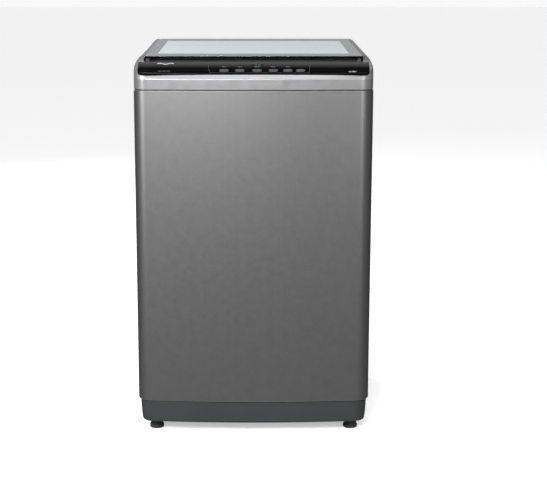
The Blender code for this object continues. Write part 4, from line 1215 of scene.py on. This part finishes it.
def build_inlet_valve():
    """Water valve: block, threaded spigot and coil."""
    low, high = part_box("inlet_valve")
    x, y, z = middle("inlet_valve")
    block = soften(box("valve_block", low, (high[0], SPIGOT_START, high[2])), 0.0025, 3)
    thread = [(0.0, 0.0), (0.0110, 0.0)]
    for i in range(8):
        start = 0.004 + 0.0018 * i
        thread += [(0.0110, start), (0.0120, start + 0.0007), (0.0110, start + 0.0014)]
    reach = high[1] - SPIGOT_START
    thread += [(0.0110, reach - 0.001), (0.0104, reach), (0.0085, reach), (0.0085, 0.002),
               (0.0, 0.002)]
    spigot = turned("valve_spigot", list(reversed(thread)), (0.0, 0.0), 48, closed=False)
    spigot = lean(spigot, -UPRIGHT, x, SPIGOT_START, z)
    piece(merged("water_valve", [block, spigot]), "cabinet", "white_plastic", "inlet_valve")
    coil = turned("valve_coil", [(0.0, 0.0), (0.010, 0.0), (0.0115, -0.001), (0.0115, -0.011),
                                 (0.010, -0.012), (0.0, -0.012)], (x - 0.012, 0.240), 40,
                  closed=False)
    coil.matrix_world = Matrix.Translation((0.0, 0.0, low[2]))
    piece(settle(coil), "cabinet", "motor_black")


def build_cord_gland():
    """Ribbed rubber bushing for the mains cord."""
    x, y, z = middle("cord_gland")
    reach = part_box("cord_gland")[1][1] - REAR
    profile = [(0.0038, reach), (0.0066, reach), (0.0070, 0.0136)]
    for i in range(4):
        top = 0.0128 - 0.0024 * i
        profile += [(0.0070, top), (0.0062, top - 0.0006), (0.0062, top - 0.0012),
                    (0.0070, top - 0.0018)]
    profile += [(0.0074, 0.0040), (0.0115, 0.0040), (0.0125, 0.0030), (0.0125, 0.0002),
                (0.0080, 0.0002), (0.0080, -0.0120), (0.0038, -0.0120)]
    gland = turned("gland", profile, (0.0, 0.0), 48)
    piece(lean(gland, -UPRIGHT, x, REAR, z), "cabinet", "rubber", "cord_gland")


def build_drain_outlet():
    """Barbed hose outlet with a screwed flange."""
    x, y, z = middle("drain_outlet")
    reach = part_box("drain_outlet")[1][1] - REAR
    profile = [(0.0125, reach), (0.0140, reach), (0.0155, reach - 0.0022),
               (0.0146, reach - 0.0026), (0.0146, reach - 0.0044), (0.0155, reach - 0.0066),
               (0.0146, reach - 0.0070), (0.0146, 0.0045), (0.0240, 0.0035), (0.0260, 0.0025),
               (0.0260, 0.0004), (0.0155, 0.0004), (0.0155, -0.0250), (0.0125, -0.0250)]
    drain = turned("drain", profile, (0.0, 0.0), 64)
    piece(lean(drain, -UPRIGHT, x, REAR, z), "cabinet", "dark_plastic", "drain_outlet")
    places = [(x + 0.0205 * math.cos(a), REAR + 0.0030, z + 0.0205 * math.sin(a))
              for a in around(4, math.pi / 4)]
    screws("drain_screws", places, (0, 1, 0), "cabinet", 0.0026)


# ----------------------------------------------------------------------------- tub side

def around(count, start=0.0):
    """Equal angles round a circle."""
    return [start + 2 * math.pi * i / count for i in range(count)]


def spun(obj, angle, x=0.0, y=AXIS_Y):
    """Turn an object about an upright axis, by default that of the tub."""
    obj.matrix_world = Matrix.Translation((x, y, 0.0)) @ Matrix.Rotation(angle, 4, "Z")
    return settle(obj)


def build_tub():
    """Outer tub with hoops, upright ribs and four lugs, and its snap-on ring."""
    low, high = TUB_LOW[2], TUB_HIGH[2]
    radius = 0.2525
    profile = [(radius + 0.0030, high), (radius + 0.0034, high - 0.0015),
               (radius + 0.0034, high - 0.0060), (radius, high - 0.0080)]
    for z in (0.655, 0.560, 0.465, 0.385):
        profile += [(radius, z + 0.0024), (radius + 0.0032, z + 0.0016),
                    (radius + 0.0032, z - 0.0016), (radius, z - 0.0024)]
    profile += [(radius, low + 0.022), (radius - 0.0015, low + 0.013),
                (radius - 0.0060, low + 0.0060), (radius - 0.0130, low + 0.0015),
                (radius - 0.0200, low), (0.110, low), (0.104, low + 0.0020),
                (0.096, low + 0.0020), (0.090, low), (0.020, low), (0.020, low + 0.004),
                (radius - 0.022, low + 0.004), (radius - 0.0130, low + 0.0070),
                (radius - 0.0070, low + 0.0130), (radius - 0.004, low + 0.022),
                (radius - 0.004, high)]
    tub = turned("tub_shell", profile, steps=144)
    lugs = []
    holes = []
    for side in (-1, 1):
        for end in (-1, 1):
            reach = math.hypot(ROD_X, ROD_Y)
            angle = math.atan2(end * ROD_Y, side * ROD_X)
            outline = [(radius - 0.003, -0.028), (reach, -0.020), (reach + 0.012, -0.016),
                       (reach + 0.018, -0.008), (reach + 0.0195, 0.0),
                       (reach + 0.018, 0.008), (reach + 0.012, 0.016), (reach, 0.020),
                       (radius - 0.003, 0.028)]
            lugs.append(spun(plate("lug", [outline], 0.335, 0.355), angle))
            x, y = side * ROD_X, AXIS_Y + end * ROD_Y
            holes.append(cylinder("lug_hole", 0.008, (x, y, 0.30), (x, y, 0.38), 40))
    tub = cut(join(tub, *lugs), *holes)
    piece(tub, "tub", "tub_plastic", "outer_tub", sharp=32)

    ribs = []
    for angle in around(24, math.radians(7.5)):
        rib = box("rib", (radius - 0.001, -0.0011, low + 0.024),
                  (radius + 0.0030, 0.0011, high - 0.008))
        ribs.append(spun(rib, angle))
    for angle in around(16):
        if 0.0 < angle < 0.75:
            continue
        rib = box("floor_rib", (0.115, -0.0011, low - 0.0030),
                  (radius - 0.026, 0.0011, low + 0.0005))
        ribs.append(spun(rib, angle))
    piece(merged("tub_ribs", ribs), "tub", "tub_plastic")

    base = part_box("tub_ring")[0][2]
    ring = turned("snap_ring", [
        (0.2545, base + 0.0040), (0.2540, base + 0.0002), (0.2005, base + 0.0002),
        (0.2000, base + 0.0008), (0.2000, base + 0.0150), (0.2006, base + 0.0158),
        (0.2022, base + 0.0160), (0.2034, base + 0.0150), (0.2040, base + 0.0080),
        (0.2062, base + 0.0056), (0.2180, base + 0.0050), (0.2190, base + 0.0040),
        (0.2230, base + 0.0040), (0.2240, base + 0.0050), (0.2500, base + 0.0050)],
        steps=144)
    piece(ring, "tub", "tub_plastic", "tub_ring", sharp=32)
    clips = []
    for angle in around(12):
        clip = box("clip", (0.2500, -0.0090, base - 0.0120), (0.2562, 0.0090, base + 0.0044),
                   0.0008)
        clips.append(spun(clip, angle))
    piece(merged("ring_clips", clips), "tub", "tub_plastic")


def perforated_wall(name, radius, thick, low, high, columns, rows, hole):
    """Round wall with staggered through holes, and shallow upright flutes."""
    work = bmesh.new()
    shared = {}

    def surface(angle, z, depth):
        flute = max(0.0, math.cos(8 * angle)) ** 12
        fade = min(1.0, (z - low) / 0.03, (high - z) / 0.03)
        r = radius - depth - 0.0022 * flute * max(0.0, fade)
        return (r * math.cos(angle), AXIS_Y + r * math.sin(angle), z)

    def vert(i, j, depth):
        key = (i % (2 * columns), j, depth)
        if key not in shared:
            angle = math.pi * i / columns
            z = low + (high - low) * j / (2 * rows)
            shared[key] = work.verts.new(surface(angle, z, depth))
        return shared[key]

    step = math.pi / columns
    for row in range(rows):
        for column in range(columns):
            i, j = 2 * column, 2 * row
            frame_keys = [(i, j), (i + 1, j), (i + 2, j), (i + 2, j + 1), (i + 2, j + 2),
                          (i + 1, j + 2), (i, j + 2), (i, j + 1)]
            outer = [vert(*key, 0.0) for key in frame_keys]
            inner = [vert(*key, thick) for key in frame_keys]
            if (row + column) % 2 or row in (0, rows - 1):
                work.faces.new(outer)
                work.faces.new(list(reversed(inner)))
                continue
            angle = step * (i + 1)
            z = low + (high - low) * (j + 1) / (2 * rows)
            ring_out, ring_in = [], []
            for k in range(8):
                turn = math.radians(-135 + 45 * k)
                a = angle + hole * math.cos(turn) / radius
                up = z + hole * math.sin(turn)
                ring_out.append(work.verts.new(surface(a, up, 0.0)))
                ring_in.append(work.verts.new(surface(a, up, thick)))
            for k in range(8):
                m = (k + 1) % 8
                work.faces.new((outer[k], outer[m], ring_out[m], ring_out[k]))
                work.faces.new((inner[m], inner[k], ring_in[k], ring_in[m]))
                work.faces.new((ring_out[k], ring_out[m], ring_in[m], ring_in[k]))
    return from_bmesh(name, work, tidy=False)


def build_basket():
    """Perforated drum on its bowl."""
    low, high = BASKET_LOW[2], BASKET_HIGH[2]
    radius = 0.2310
    thick = 0.0012
    columns = 96
    start = low + 0.026
    wall = perforated_wall("drum_wall", radius, thick, start, high, columns, 26, 0.0023)
    bowl = turned("drum_bowl", [
        (radius, start), (radius, low + 0.020), (radius - 0.0025, low + 0.0110),
        (radius - 0.0080, low + 0.0050), (radius - 0.0140, low + 0.0015),
        (radius - 0.0220, low), (0.180, low), (0.176, low + 0.0025), (0.120, low + 0.0025),
        (0.116, low), (0.0168, low), (0.0168, low + thick), (0.1155, low + thick),
        (0.1195, low + 0.0025 + thick), (0.1765, low + 0.0025 + thick),
        (0.1805, low + thick), (radius - 0.0225, low + thick),
        (radius - 0.0150, low + 0.0027), (radius - 0.0090, low + 0.0060),
        (radius - 0.0038, low + 0.0118), (radius - thick, low + 0.020),
        (radius - thick, start)], steps=2 * columns)
    piece(merged("drum", [wall, bowl]), "basket", "stainless", "basket", sharp=40)


def build_balance_ring():
    """Liquid-filled ring on the drum's rim, with its screws."""
    low, high = RING_LOW[2], RING_HIGH[2]
    ring = turned("liquid_balance_ring", [
        (0.1960, high), (0.2265, high), (0.2290, high - 0.0010), (0.2305, high - 0.0030),
        (0.2310, high - 0.0050), (0.2310, low), (0.1945, low), (0.1910, low + 0.0012),
        (0.1888, low + 0.0034), (0.1880, low + 0.0065), (0.1880, low + 0.0150),
        (0.1886, low + 0.0158), (0.1886, low + 0.0176), (0.1880, low + 0.0184),
        (0.1880, high - 0.0090), (0.1890, high - 0.0045), (0.1915, high - 0.0015)],
        steps=144)
    piece(ring, "basket", "silver_plastic", "balance_ring", sharp=32)
    places = ring_points(0.2150, 8, high - 0.0004)
    screws("ring_screws", places, (0, 0, 1), "basket", 0.0034)


def build_hub():
    """Ribbed hub under the drum, with its bolts."""
    low, high = (corner[2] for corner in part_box("basket_hub"))
    hub = turned("hub", [
        (0.0885, high), (0.0900, high - 0.0012), (0.0900, high - 0.0048),
        (0.0870, high - 0.0060), (0.0400, high - 0.0066), (0.0340, high - 0.0100),
        (0.0300, low), (0.0163, low), (0.0163, high)], steps=96)
    ribs = []
    for angle in around(6):
        rib = box("rib", (0.030, -0.004, low + 0.0015), (0.084, 0.004, high - 0.0040))
        ribs.append(spun(rib, angle))
    hub = join(hub, *ribs)
    piece(soften(hub, 0.0008), "basket", "aluminium", "basket_hub")
    places = ring_points(0.066, 6, low + 0.0056, math.radians(30))
    screws("hub_screws", places, (0, 0, -1), "basket", 0.0042)


def build_spin_shaft():
    """Hollow shaft that turns the basket."""
    low, high = (corner[2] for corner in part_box("spin_shaft"))
    shaft = turned("tube_shaft", [
        (0.0152, high), (0.0160, high - 0.0010), (0.0160, 0.318), (0.0158, 0.3172),
        (0.0158, 0.3158), (0.0160, 0.3150), (0.0160, low + 0.001), (0.0152, low),
        (0.0085, low), (0.0085, high)], steps=64)
    piece(shaft, "basket", "zinc_steel", "spin_shaft")


def build_lint_filter():
    """Filter cassette on the drum wall, its front in slats over a fine mesh."""
    low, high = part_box("lint_filter")
    shell = box("cassette", low, high)
    slots = []
    for i in range(11):
        z = low[2] + 0.018 + 0.0082 * i
        slots.append(box("slot", (low[0] - 0.001, low[1] + 0.010, z),
                         (low[0] + 0.004, high[1] - 0.010, z + 0.0040)))
    shell = soften(cut(shell, *slots), 0.0012, 3)
    piece(shell, "basket", "silver_plastic", "lint_filter")
    threads = []
    for i in range(13):
        y = low[1] + 0.0115 + 0.0039 * i
        threads.append(wire("thread", [(low[0] + 0.0030, y, low[2] + 0.015),
                                       (low[0] + 0.0030, y, high[2] - 0.010)], 0.0004, 1))
    piece(merged("filter_mesh", threads), "basket", "dark_plastic", sharp=None)


def build_pulsator():
    """Swirled disc: four tall vanes, and small ribs between them."""
    base = [(0.0, 0.3680), (0.026, 0.3680), (0.034, 0.3620), (0.060, 0.3500),
            (0.110, 0.3430), (0.155, 0.3400), (0.168, 0.3360), (0.170, 0.3318)]

    def level(r):
        for (r0, z0), (r1, z1) in zip(base, base[1:]):
            if r <= r1:
                t = (r - r0) / (r1 - r0)
                return z0 + (z1 - z0) * t
        return base[-1][1]

    def swell(value):
        value = max(0.0, min(1.0, value))
        return value * value * (3 - 2 * value)

    def height(r, angle):
        ground = level(r)
        swirl = angle + 0.35 * (r - 0.030) / 0.12 - math.radians(45)
        span = swell((r - 0.026) / 0.016) * swell((0.158 - r) / 0.030)
        crest = 0.3645 - 0.010 * max(0.0, r - 0.06) / 0.10
        away = (swirl + math.pi / 4) % (math.pi / 2) - math.pi / 4
        near = swell(1.0 - abs(away) * r / 0.0165)
        vane = max(ground, ground + (crest - ground) * near * span)
        small = swirl + math.radians(45)
        away = (small + math.pi / 4) % (math.pi / 2) - math.pi / 4
        near = swell(1.0 - abs(away) * r / 0.0060)
        rib = 0.0035 * near * swell((r - 0.070) / 0.02) * swell((0.156 - r) / 0.02)
        return max(vane, ground + rib)

    steps = 216
    radii = [0.0060, 0.0140, 0.0200, 0.0260, 0.0285, 0.0310, 0.0340]
    radii += [0.034 + 0.0038 * i for i in range(1, 32)] + [0.1545, 0.1600, 0.1650, 0.1680,
                                                            0.1692, 0.1700]
    rings = []
    for r in radii:
        rings.append([(r * math.cos(a), AXIS_Y + r * math.sin(a), height(r, a))
                      for a in around(steps)])
    for r, z in ((0.1700, 0.3300), (0.1660, 0.3300), (0.1660, 0.3330), (0.0084, 0.3330),
                 (0.0084, 0.3500)):
        rings.append(ring_points(r, steps, z))
    disc = loft("pulsator_disc", rings)
    piece(disc, "pulsator", "silver_plastic", "pulsator", sharp=50)


def build_pulsator_fittings():
    """Plated cap on the disc, and the inner shaft that turns it."""
    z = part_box("pulsator_cap")[0][2]
    cap = turned("cap", [
        (0.0, z + 0.0072), (0.0050, z + 0.0070), (0.0100, z + 0.0064), (0.0112, z + 0.0056),
        (0.0124, z + 0.0058), (0.0160, z + 0.0046), (0.0186, z + 0.0028),
        (0.0198, z + 0.0010), (0.0200, z), (0.0, z)], steps=96, closed=False)
    piece(cap, "pulsator", "chrome", "pulsator_cap", sharp=40)
    low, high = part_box("pulsator_shaft")
    shaft = turned("inner_shaft", [
        (0.0, high[2]), (0.0072, high[2]), (0.0080, high[2] - 0.0008),
        (0.0080, high[2] - 0.014), (0.0077, high[2] - 0.0145), (0.0077, high[2] - 0.0155),
        (0.0080, high[2] - 0.016), (0.0080, low[2] + 0.0008), (0.0072, low[2]),
        (0.0, low[2])], steps=48, closed=False)
    piece(shaft, "pulsator", "stainless", "pulsator_shaft")


# ---------------------------------------------------------------------------- suspension

def build_suspension():
    """Hanging rods with their heads, springs and damper cups."""
    for side, across in SIDES:
        for end, depth in ((-1, "front"), (1, "rear")):
            place = depth + "_" + across
            x, y = side * ROD_X, AXIS_Y + end * ROD_Y
            top = 0.8033
            profile = [
                (0.0, top + 0.0090), (0.0035, top + 0.0088), (0.0062, top + 0.0078),
                (0.0090, top + 0.0056), (0.0104, top + 0.0030), (0.0110, top),
                (0.0040, top), (0.0040, 0.3340), (0.0036, 0.3334), (0.0040, 0.3328),
                (0.0040, 0.2500), (0.0155, 0.2500), (0.0170, 0.2492), (0.0170, 0.2476),
                (0.0100, 0.2466), (0.0085, 0.2450), (0.0070, 0.2440), (0.0, 0.2440)]
            rod = turned("hanger_" + place, profile, (x, y), 40, closed=False)
            piece(rod, "cabinet", "zinc_steel", "suspension_rod_" + place)
            turns = 4
            low, high = 0.2520, 0.3330
            points = []
            count = turns * 28
            for i in range(count + 1):
                t = i / count
                angle = 2 * math.pi * turns * t
                rise = t + 0.020 * math.sin(2 * math.pi * t)
                points.append((x + 0.0125 * math.cos(angle), y + 0.0125 * math.sin(angle),
                               low + (high - low) * max(0.0, min(1.0, rise))))
            spring = wire("coil_" + place, points, 0.0016, 3)
            piece(spring, None, "zinc_steel", "suspension_spring_" + place, sharp=60)
            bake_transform(spring)
            cup = turned("damper_" + place, [
                (0.0105, 0.3700), (0.0125, 0.3690), (0.0135, 0.3560), (0.0160, 0.3553),
                (0.0046, 0.3553), (0.0046, 0.3700)], (x, y), 48)
            piece(cup, "tub", "dark_plastic")


def dress(node, look, width):
    """Material and bevelled edges for a plain pressed part, which keeps its shape."""
    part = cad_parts[node]
    part.data.materials.clear()
    part.data.materials.append(MATERIALS[look])
    bevel_edges(part, width, 2, 40)


def dress_brackets():
    """Corner seats of the rods, with their rivets."""
    for place in ("front_left", "front_right", "rear_left", "rear_right"):
        dress("corner_bracket_" + place, "zinc_steel", 0.0004)
    places = []
    for side in (-1, 1):
        for end in (-1, 1):
            places.append((side * 0.245, end * 0.130 - 0.004, 0.8030))
            places.append((side * 0.135, end * 0.242 - 0.006, 0.8030))
    screws("bracket_rivets", places, (0, 0, 1), "cabinet", 0.0034)


# --------------------------------------------------------------------------------- drive

def pulley(name, body, node, groove, stub, stub_top, x, y, spokes):
    """Pulley with fine belt grooves, and with windows between its spokes."""
    low, high = 0.1765, 0.1875
    flange = groove + 0.005
    profile = [(0.0, stub_top), (stub, stub_top), (stub, high + 0.004),
               (flange - 0.0008, high + 0.004), (flange, high + 0.0032), (flange, high)]
    grooves = 4
    pitch = (high - low) / grooves
    for i in range(grooves):
        top = high - i * pitch
        profile += [(groove + 0.0003, top - 0.0002), (groove - 0.0010, top - pitch / 2)]
    profile += [(groove + 0.0003, low), (flange, low), (flange, low - 0.0032),
                (flange - 0.0008, low - 0.004), (0.0, low - 0.004)]
    wheel = turned(name, profile, (x, y), 96, closed=False)
    if spokes:
        tools = []
        for angle in around(spokes):
            inner, outer, wide = 0.024, groove - 0.011, math.pi / spokes - 0.11
            outline = flat(arc((0, 0), outer, -wide, wide, 14))
            outline += flat(arc((0, 0), inner, wide * 0.75, -wide * 0.75, 8))
            tools.append(spun(plate("window", [outline], 0.15, 0.20), angle, x, y))
        wheel = cut(wheel, *tools)
        wheel = soften(wheel, 0.0006, 2, 50.0)
    return piece(wheel, body, "aluminium", node, sharp=32)


def build_drive():
    """Gearbox, motor on its plate, pulleys, ribbed belt and drain valve under the tub."""
    low = TUB_LOW[2]
    gearbox = turned("gear_case", [
        (0.0840, low - 0.0003), (0.0850, low - 0.0014), (0.0850, 0.2915), (0.0840, 0.2905),
        (0.0640, 0.2905), (0.0620, 0.2885), (0.0620, 0.2600), (0.0632, 0.2590),
        (0.0632, 0.2560), (0.0620, 0.2550), (0.0620, 0.2240), (0.0600, 0.2200),
        (0.0520, 0.2070), (0.0490, 0.2050), (0.0085, 0.2050), (0.0085, 0.2250),
        (0.0300, 0.2250), (0.0300, 0.2400), (0.0164, 0.2400), (0.0164, low - 0.0003)],
        steps=96)
    fins = [spun(box("fin", (0.058, -0.0014, 0.226), (0.0690, 0.0014, 0.2840)), a)
            for a in around(18)]
    gearbox = join(gearbox, *fins)
    piece(soften(gearbox, 0.0006, 2, 45.0), "tub", "aluminium", "gearbox")
    places = ring_points(0.0765, 6, 0.2905, math.radians(80))
    screws("gearbox_bolts", places, (0, 0, -1), "tub", 0.0045)

    dress("motor_plate", "zinc_steel", 0.0006)
    places = ring_points(0.050, 4, 0.2900, math.radians(45), MOTOR)
    screws("motor_bolts", places, (0, 0, 1), "tub", 0.0042)
    build_motor()
    pulley("belt_pulley", "drive_pulley", "drive_pulley", 0.070, 0.0080, 0.2200, 0.0,
           AXIS_Y, 5)
    pulley("motor_belt_pulley", "motor_pulley", "motor_pulley", 0.023, 0.0060, 0.2110,
           *MOTOR, 0)
    build_belt()
    build_drain_valve()


def build_motor():
    """Stacked stator and its windings between two vented end bells."""
    top, bottom = 0.2857, 0.2030
    upper = turned("motor_bell_upper", [
        (0.0, top), (0.0500, top), (0.0560, top - 0.0020), (0.0580, top - 0.0070),
        (0.0580, 0.2665), (0.0570, 0.2655), (0.0, 0.2655)], MOTOR, 96, closed=False)
    lower = turned("motor_bell_lower", [
        (0.0, 0.2300), (0.0570, 0.2300), (0.0580, 0.2290), (0.0580, 0.2130),
        (0.0560, 0.2080), (0.0480, bottom), (0.0200, bottom), (0.0190, bottom + 0.0020),
        (0.0065, bottom + 0.0020), (0.0065, 0.2130), (0.0, 0.2130)], MOTOR, 96,
        closed=False)
    for bell in (upper, lower):
        windows = []
        edge = 0.2680 if bell is upper else 0.2120
        for angle in around(12):
            vent = box("vent", (0.046, -0.0050, edge), (0.062, 0.0050, edge + 0.0120))
            windows.append(spun(vent, angle, *MOTOR))
        bell = cut(bell, *windows)
        piece(soften(bell, 0.0005, 2, 45.0), "tub", "aluminium")
    stack = []
    count = 22
    for i in range(count):
        z = 0.2655 - (0.0352 / count) * i
        radius = 0.0552 if i % 2 else 0.0560
        stack += [(radius, z), (radius, z - 0.0352 / count)]
    stator = turned("motor_stator", [(0.0, 0.2655)] + stack + [(0.0, 0.2303)], MOTOR, 96,
                    closed=False)
    piece(stator, "tub", "motor_black", "motor", sharp=40)
    coils = []
    for angle in around(12, math.radians(15)):
        for z in (0.2740, 0.2185):
            coil = box("winding", (0.0300, -0.0085, z - 0.0045), (0.0450, 0.0085, z + 0.0045),
                       0.0030, 3)
            coils.append(spun(coil, angle, *MOTOR))
    piece(merged("motor_windings", coils), "tub", "copper")


def build_belt():
    """Flat-backed belt with five ribs inside, pulled tight round both pulleys."""
    first, second = (0.0, AXIS_Y), MOTOR
    along = math.atan2(second[1] - first[1], second[0] - first[0])
    distance = math.hypot(second[0] - first[0], second[1] - first[1])
    outer = 0.0049
    grown = (0.070 + outer, 0.023 + outer)
    opened = math.acos((grown[0] - grown[1]) / distance)
    path = arc(second, grown[1], along - opened, along + opened, 40)
    path += arc(first, grown[0], along + opened, along + 2 * math.pi - opened, 90)
    low, high = 0.177, 0.187
    profile = [(0.0, low + 0.0006), (0.0, high - 0.0006), (0.0006, high)]
    ribs = 5
    pitch = (high - low - 0.0012) / ribs
    for i in range(ribs):
        top = high - 0.0006 - i * pitch
        profile += [(0.0028, top), (0.0044, top - 0.35 * pitch), (0.0044, top - 0.65 * pitch)]
    profile += [(0.0028, low + 0.0006), (0.0006, low)]
    belt = sweep("ribbed_belt", path, profile, closed=True)
    piece(belt, "tub", "rubber", "drive_belt", sharp=40)


def build_drain_valve():
    """Valve body under the tub, with bellows at its foot and an outlet to the side."""
    x, y = DRAIN_VALVE
    z = 0.278
    top = TUB_LOW[2] - 0.0003
    body = turned("valve_body", [
        (0.0, top), (0.0300, top), (0.0300, 0.2960), (0.0285, 0.2945), (0.0285, 0.2660),
        (0.0300, 0.2645), (0.0300, 0.2620), (0.0220, 0.2555), (0.0220, 0.2520),
        (0.0205, 0.2510), (0.0205, 0.2490), (0.0220, 0.2480), (0.0220, 0.2450),
        (0.0205, 0.2440), (0.0205, 0.2420), (0.0220, 0.2410), (0.0220, 0.2370),
        (0.0210, 0.2360), (0.0, 0.2360)], DRAIN_VALVE, 64, closed=False)
    outlet = cylinder("outlet", 0.0130, (x, y, z), (-0.175, y, z), 48)
    collar = cylinder("outlet_collar", 0.0145, (-0.168, y, z), (-0.172, y, z), 48)
    bore = cylinder("outlet_bore", 0.0105, (-0.150, y, z), (-0.185, y, z), 48)
    body = cut(join(body, outlet, collar), bore)
    piece(body, "tub", "dark_plastic", "drain_valve", sharp=35)


# ------------------------------------------------------------------------------- studio

def studio_world():
    """Soft light from overhead, a grey horizon brightest at the rear and sides, grey below."""
    world = bpy.data.worlds.new("studio")
    bpy.context.scene.world = world
    world.use_nodes = True
    nodes = world.node_tree.nodes
    link = world.node_tree.links.new
    coords = nodes.new("ShaderNodeTexCoord")
    parts = nodes.new("ShaderNodeSeparateXYZ")
    link(coords.outputs["Generated"], parts.inputs["Vector"])

    def greys(axis, stops, interpolation="EASE"):
        """Grey stops against one part of the direction."""
        half = nodes.new("ShaderNodeMapRange")
        half.inputs["From Min"].default_value = -1.0
        made = nodes.new("ShaderNodeValToRGB")
        ramp = made.color_ramp
        ramp.interpolation = interpolation
        for place, value in stops[1:-1]:
            ramp.elements.new(place).color = (value, value, value, 1.0)
        for end in (0, -1):
            value = stops[end][1]
            ramp.elements[end].color = (value, value, value, 1.0)
        link(parts.outputs[axis], half.inputs["Value"])
        link(half.outputs["Result"], made.inputs["Fac"])
        return made.outputs["Color"]

    def worked_out(operation, first, second):
        made = nodes.new("ShaderNodeMath")
        made.operation = operation
        link(first, made.inputs[0])
        link(second, made.inputs[1])
        return made.outputs["Value"]

    band = worked_out("MULTIPLY", greys("Z", WORLD_HORIZON), greys("Y", WORLD_ROUND))
    low = worked_out("ADD", band, greys("Z", WORLD_REST, "LINEAR"))
    toward = nodes.new("ShaderNodeVectorMath")
    toward.operation = "DOT_PRODUCT"
    toward.inputs[1].default_value = OVERHEAD_TOWARD
    link(coords.outputs["Generated"], toward.inputs[0])
    overhead = nodes.new("ShaderNodeMapRange")
    overhead.interpolation_type = "SMOOTHSTEP"
    for key, value in zip(RANGE, (*OVERHEAD_EDGE, 0.0, WORLD_OVERHEAD)):
        overhead.inputs[key].default_value = value
    link(toward.outputs["Value"], overhead.inputs["Value"])
    total = worked_out("ADD", low, overhead.outputs["Result"])
    path = nodes.new("ShaderNodeLightPath")
    seen = nodes.new("ShaderNodeMix")
    seen.inputs["B"].default_value = WORLD_SEEN
    link(path.outputs["Is Camera Ray"], seen.inputs["Factor"])
    link(total, seen.inputs["A"])
    link(seen.outputs["Result"], nodes["Background"].inputs["Strength"])
    nodes["Background"].inputs["Color"].default_value = (1.0, 1.0, 1.0, 1.0)


def softbox(name, place, target, wide, tall, power):
    data = bpy.data.lights.new(name, "AREA")
    data.shape = "RECTANGLE"
    data.size = wide
    data.size_y = tall
    data.energy = power
    lamp = add_object(name, data)
    aim = Vector(target) - Vector(place)
    turn = aim.to_track_quat("-Z", "Y").to_matrix().to_4x4()
    lamp.matrix_world = Matrix.Translation(place) @ turn


def build_studio():
    """Pale floor that is clear from below, the surroundings, the lamps and the camera."""
    floor = grid("studio_floor", 4, 4,
                 lambda u, v: (FLOOR_HALF * (2 * u - 1), FLOOR_HALF * (2 * v - 1), 0.0))
    paint = Paint("floor_paint", roughness=0.9, Specular_IOR_Level=0.0)
    paint.colour(paint.colours(paint.noise(0.8), (0.88, 0.88, 0.88), (0.90, 0.90, 0.90)))
    paint.shader.inputs["Emission Color"].default_value = (1.0, 1.0, 1.0, 1.0)
    paint.shader.inputs["Emission Strength"].default_value = FLOOR_GLOW
    clear = paint.node("ShaderNodeBsdfTransparent")
    side = paint.node("ShaderNodeNewGeometry")
    one_sided = paint.node("ShaderNodeMixShader")
    paint.link(side.outputs["Backfacing"], one_sided.inputs[0])
    paint.link(paint.shader.outputs["BSDF"], one_sided.inputs[1])
    paint.link(clear.outputs["BSDF"], one_sided.inputs[2])
    paint.link(one_sided.outputs["Shader"],
               paint.tree.nodes["Material Output"].inputs["Surface"])
    floor.data.materials.append(paint.material)
    floor.visible_glossy = False
    floor.visible_diffuse = False
    studio_world()
    for name, setting in LAMPS.items():
        softbox(name, *setting)

    view = bpy.data.cameras.new("camera")
    view.sensor_width = CAMERA_SENSOR
    view.lens = CAMERA_LENS
    view.shift_x, view.shift_y = CAMERA_SHIFT
    camera = add_object("camera", view)
    camera.location = CAMERA_PLACE
    camera.rotation_euler = (math.radians(90 - CAMERA_DIP), 0.0, 0.0)
    bpy.context.scene.camera = camera
    bpy.context.scene.view_settings.view_transform = "Standard"


build_cabinet()
build_rear_panel()
build_base()
build_feet()
build_cover()
build_panel()
build_lid()
build_lid_frame()
build_lid_fittings()
build_drawer()
build_inlet_valve()
build_cord_gland()
build_drain_outlet()
build_tub()
build_basket()
build_balance_ring()
build_lint_filter()
build_hub()
build_spin_shaft()
build_pulsator()
build_pulsator_fittings()
build_suspension()
dress_brackets()
build_drive()
build_studio()
